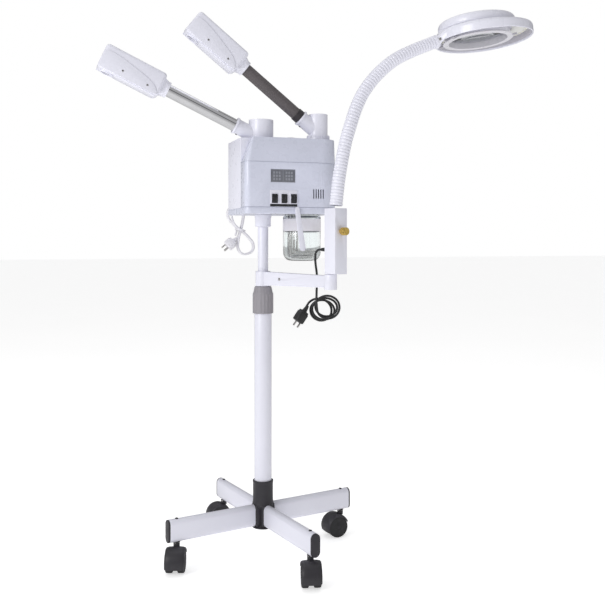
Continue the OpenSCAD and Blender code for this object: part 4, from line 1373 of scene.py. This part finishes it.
class STEAMER_OT_lamp(SteamerOperator, bpy.types.Operator):
    """Makes the magnifier lamp: stepped shade, lens in its ring, light strip, lid and yoke."""

    bl_idname = "steamer.lamp"
    bl_label = "Lamp head"

    def execute(self, context):
        place = lamp_place()
        off = place @ Matrix.Translation((LENS_SHIFT, 0, 0))
        shade = shifted_lathe("lamp_shade", [
            (0.0680, -0.0086, 1), (0.0685, -0.0092, 1), (0.0700, -0.0092, 1), (0.0705, -0.0086, 1),
            (0.0705, 0.0074, 1), (0.1044, 0.0074, 0), (0.1044, -0.0094, 0), (0.1050, -0.0102, 0),
            (0.1064, -0.0102, 0), (0.1071, -0.0094, 0), (0.1070, 0.0040, 0), (0.1064, 0.0074, 0),
            (0.1050, 0.0098, 0), (0.1026, 0.0112, 0.1), (0.0990, 0.0118, 0.3),
            (0.0930, 0.0120, 0.6), (0.0870, 0.0121, 0.85), (0.0832, 0.0124, 1),
            (0.0824, 0.0132, 1), (0.0818, 0.0140, 1), (0.0684, 0.0140, 1), (0.0680, 0.0136, 1)],
            place)
        dress(shade, "lamp", "lamp_moulding", None, ["lamp_housing"])
        step = lathe_piece("lamp_shade_step", [
            (0.1044, -0.0060), (0.1034, -0.0062), (0.1010, -0.0040), (0.0990, 0.0010),
            (0.0982, 0.0072), (0.1044, 0.0072), (0.1044, -0.0060)], place, 128)
        dress(step, "lamp", "lamp_trim")
        ring = lathe_piece("lens_ring_moulded", [
            (0.0636, 0.0030), (0.0636, -0.0112), (0.0644, -0.0120), (0.0672, -0.0122),
            (0.0740, -0.0120), (0.0758, -0.0116), (0.0764, -0.0106), (0.0760, -0.0090),
            (0.0675, -0.0090), (0.0675, 0.0030), (0.0636, 0.0030)], off, 128)
        dress(ring, "lamp", "lamp_trim", finish_of("ring_white"), ["lens_ring"])
        bm = bmesh.new()
        for degrees in (20, 140, 200, 320):
            add_block(bm, (0.0150, 0.0105, 0.0026), off @ Matrix.Rotation(
                math.radians(degrees), 4, "Z") @ Matrix.Translation((0.0775, 0, -0.0106)),
                0.0008, 2)
        dress(piece_from(bm, "lens_ring_tabs"), "lamp", "lamp_trim")
        self.optics(place, off)
        self.lid(off)
        self.yoke(place)
        return {"FINISHED"}

    def optics(self, place, off):
        """The biconvex lens and the ring-shaped light board with its LEDs."""
        edge, curve = 0.0634, 0.240
        face = [(edge * k / 14,
                 0.002 + math.sqrt(curve ** 2 - (edge * k / 14) ** 2) - curve + 0.009)
                for k in range(15)]
        back = [(x, 0.004 - z) for x, z in reversed(face)]
        lens = lathe_piece("lens_ground", face + back, off, 128, 40.0)
        dress(lens, "lamp", "lens", None, ["magnifier_lens"])
        board = shifted_lathe("light_board", [
            (0.0742, 0.0058, 1), (0.0998, 0.0058, 0), (0.0998, 0.0072, 0), (0.0742, 0.0072, 1)],
            place)
        dress(board, "lamp", "led_white", None, ["led_board"])
        bm = bmesh.new()
        for k in range(44):
            add_block(bm, (0.0042, 0.0032, 0.0014), place @ Matrix.Rotation(
                math.tau * k / 44, 4, "Z") @ Matrix.Translation((0.0935, 0, 0.0052)), 0.0003, 1)
        dress(piece_from(bm, "light_diodes"), "lamp", "led_white", finish_of("diode"))

    def lid(self, off):
        """The domed lens lid and its grip."""
        lid = lathe_piece("lens_lid_domed", [
            (0.0, 0.0370), (0.0200, 0.0366), (0.0450, 0.0356), (0.0650, 0.0338), (0.0730, 0.0324),
            (0.0785, 0.0294), (0.0810, 0.0250), (0.0812, 0.0144), (0.0836, 0.0144),
            (0.0842, 0.0152), (0.0843, 0.0200), (0.0840, 0.0250), (0.0831, 0.0284),
            (0.0812, 0.0314), (0.0782, 0.0337), (0.0740, 0.0353), (0.0650, 0.0368),
            (0.0450, 0.0386), (0.0200, 0.0397), (0.0, 0.0400)], off, 128, 40.0)
        dress(lid, "lid", "lamp_moulding", None, ["lens_lid"])
        bm = bmesh.new()
        add_block(bm, (0.0100, 0.0260, 0.0030), off @ Matrix.Translation((0.0868, 0, 0.0166)),
                  0.0012, 3)
        dress(piece_from(bm, "lid_grip"), "lid", "lamp_moulding")

    def yoke(self, place):
        """The tapered yoke between the gooseneck and the shade, with its small steel screw."""
        sections = [(-0.1215, 0.0098, 0.0098, -0.0126), (-0.1190, 0.0118, 0.0110, -0.0118),
                    (-0.1150, 0.0145, 0.0112, -0.0096), (-0.1100, 0.0205, 0.0104, -0.0056),
                    (-0.1055, 0.0275, 0.0088, -0.0004)]
        bm = bmesh.new()
        rings = []
        for x, half_y, half_z, mid in sections:
            ring = []
            for k in range(48):
                a = math.tau * k / 48
                c, s = math.cos(a), math.sin(a)
                bow = 0.0036 * (half_y / 0.0275) ** 2 * abs(c) ** 2.2
                ring.append(bm.verts.new((x + bow, half_y * math.copysign(abs(c) ** 0.6, c),
                                          mid + half_z * math.copysign(abs(s) ** 0.6, s))))
            rings.append(ring)
        for a, b in zip(rings, rings[1:]):
            for k in range(48):
                n = (k + 1) % 48
                bm.faces.new((a[k], a[n], b[n], b[k]))
        bm.faces.new(reversed(rings[0]))
        bm.faces.new(rings[-1])
        bmesh.ops.transform(bm, matrix=place, verts=bm.verts[:])
        dress(piece_from(bm, "yoke_tapered", 50.0), "lamp", "lamp_moulding", None, ["lamp_yoke"])
        bm = bmesh.new()
        add_screw(bm, place @ turn_to((0, -1, -0.2), (-0.1150, -0.0145, -0.0096), (1, 0, 0)),
                  0.0034,
                  0.0016)
        dress(piece_from(bm, "yoke_screw"), "lamp", "steel")


# ---------------------------------------------------------------- plain mouldings and metalwork
class STEAMER_OT_carried(SteamerOperator, bpy.types.Operator):
    """Gives the nodes whose own shape is right their finishes."""

    bl_idname = "steamer.carried"
    bl_label = "Carried nodes"

    def execute(self, context):
        slots = {part["node"]: part["material_slot"] for part in RECORD["subparts"]}
        for node, piece in frame["nodes"].items():
            piece.data.materials.clear()
            piece.data.materials.append(finish_of(slots[node]))
        return {"FINISHED"}


class STEAMER_PT_panel(bpy.types.Panel):
    """Lists the steamer's makers in the 3D view's sidebar."""

    bl_idname = "STEAMER_PT_panel"
    bl_label = "Facial steamer"
    bl_space_type = "VIEW_3D"
    bl_region_type = "UI"
    bl_category = "Steamer"

    def draw(self, context):
        for operator in OPERATORS:
            self.layout.operator(operator.bl_idname)
        for group in (context.scene.steamer_sizes, context.scene.steamer_colours):
            for name in group.__annotations__:
                self.layout.prop(group, name)


OPERATORS = (
    STEAMER_OT_stage,
    STEAMER_OT_cords,
    STEAMER_OT_carried,
    STEAMER_OT_stand,
    STEAMER_OT_castors,
    STEAMER_OT_column,
    STEAMER_OT_lamp_stand,
    STEAMER_OT_arms,
    STEAMER_OT_jar,
    STEAMER_OT_body,
    STEAMER_OT_gooseneck,
    STEAMER_OT_lamp,
)
CLASSES = (SteamerSizes, SteamerColours, *OPERATORS, STEAMER_PT_panel)


def register():
    """Registers the classes and the settings."""
    for cls in CLASSES:
        bpy.utils.register_class(cls)
    bpy.types.Scene.steamer_sizes = bpy.props.PointerProperty(type=SteamerSizes)
    bpy.types.Scene.steamer_colours = bpy.props.PointerProperty(type=SteamerColours)


def unregister():
    """Takes the settings and classes away again."""
    del bpy.types.Scene.steamer_colours
    del bpy.types.Scene.steamer_sizes
    for cls in reversed(CLASSES):
        bpy.utils.unregister_class(cls)


def main():
    """Makes the whole steamer."""
    register()
    for operator in OPERATORS:
        family, name = operator.bl_idname.split(".")
        getattr(getattr(bpy.ops, family), name)()


if __name__ == "__main__":
    main()
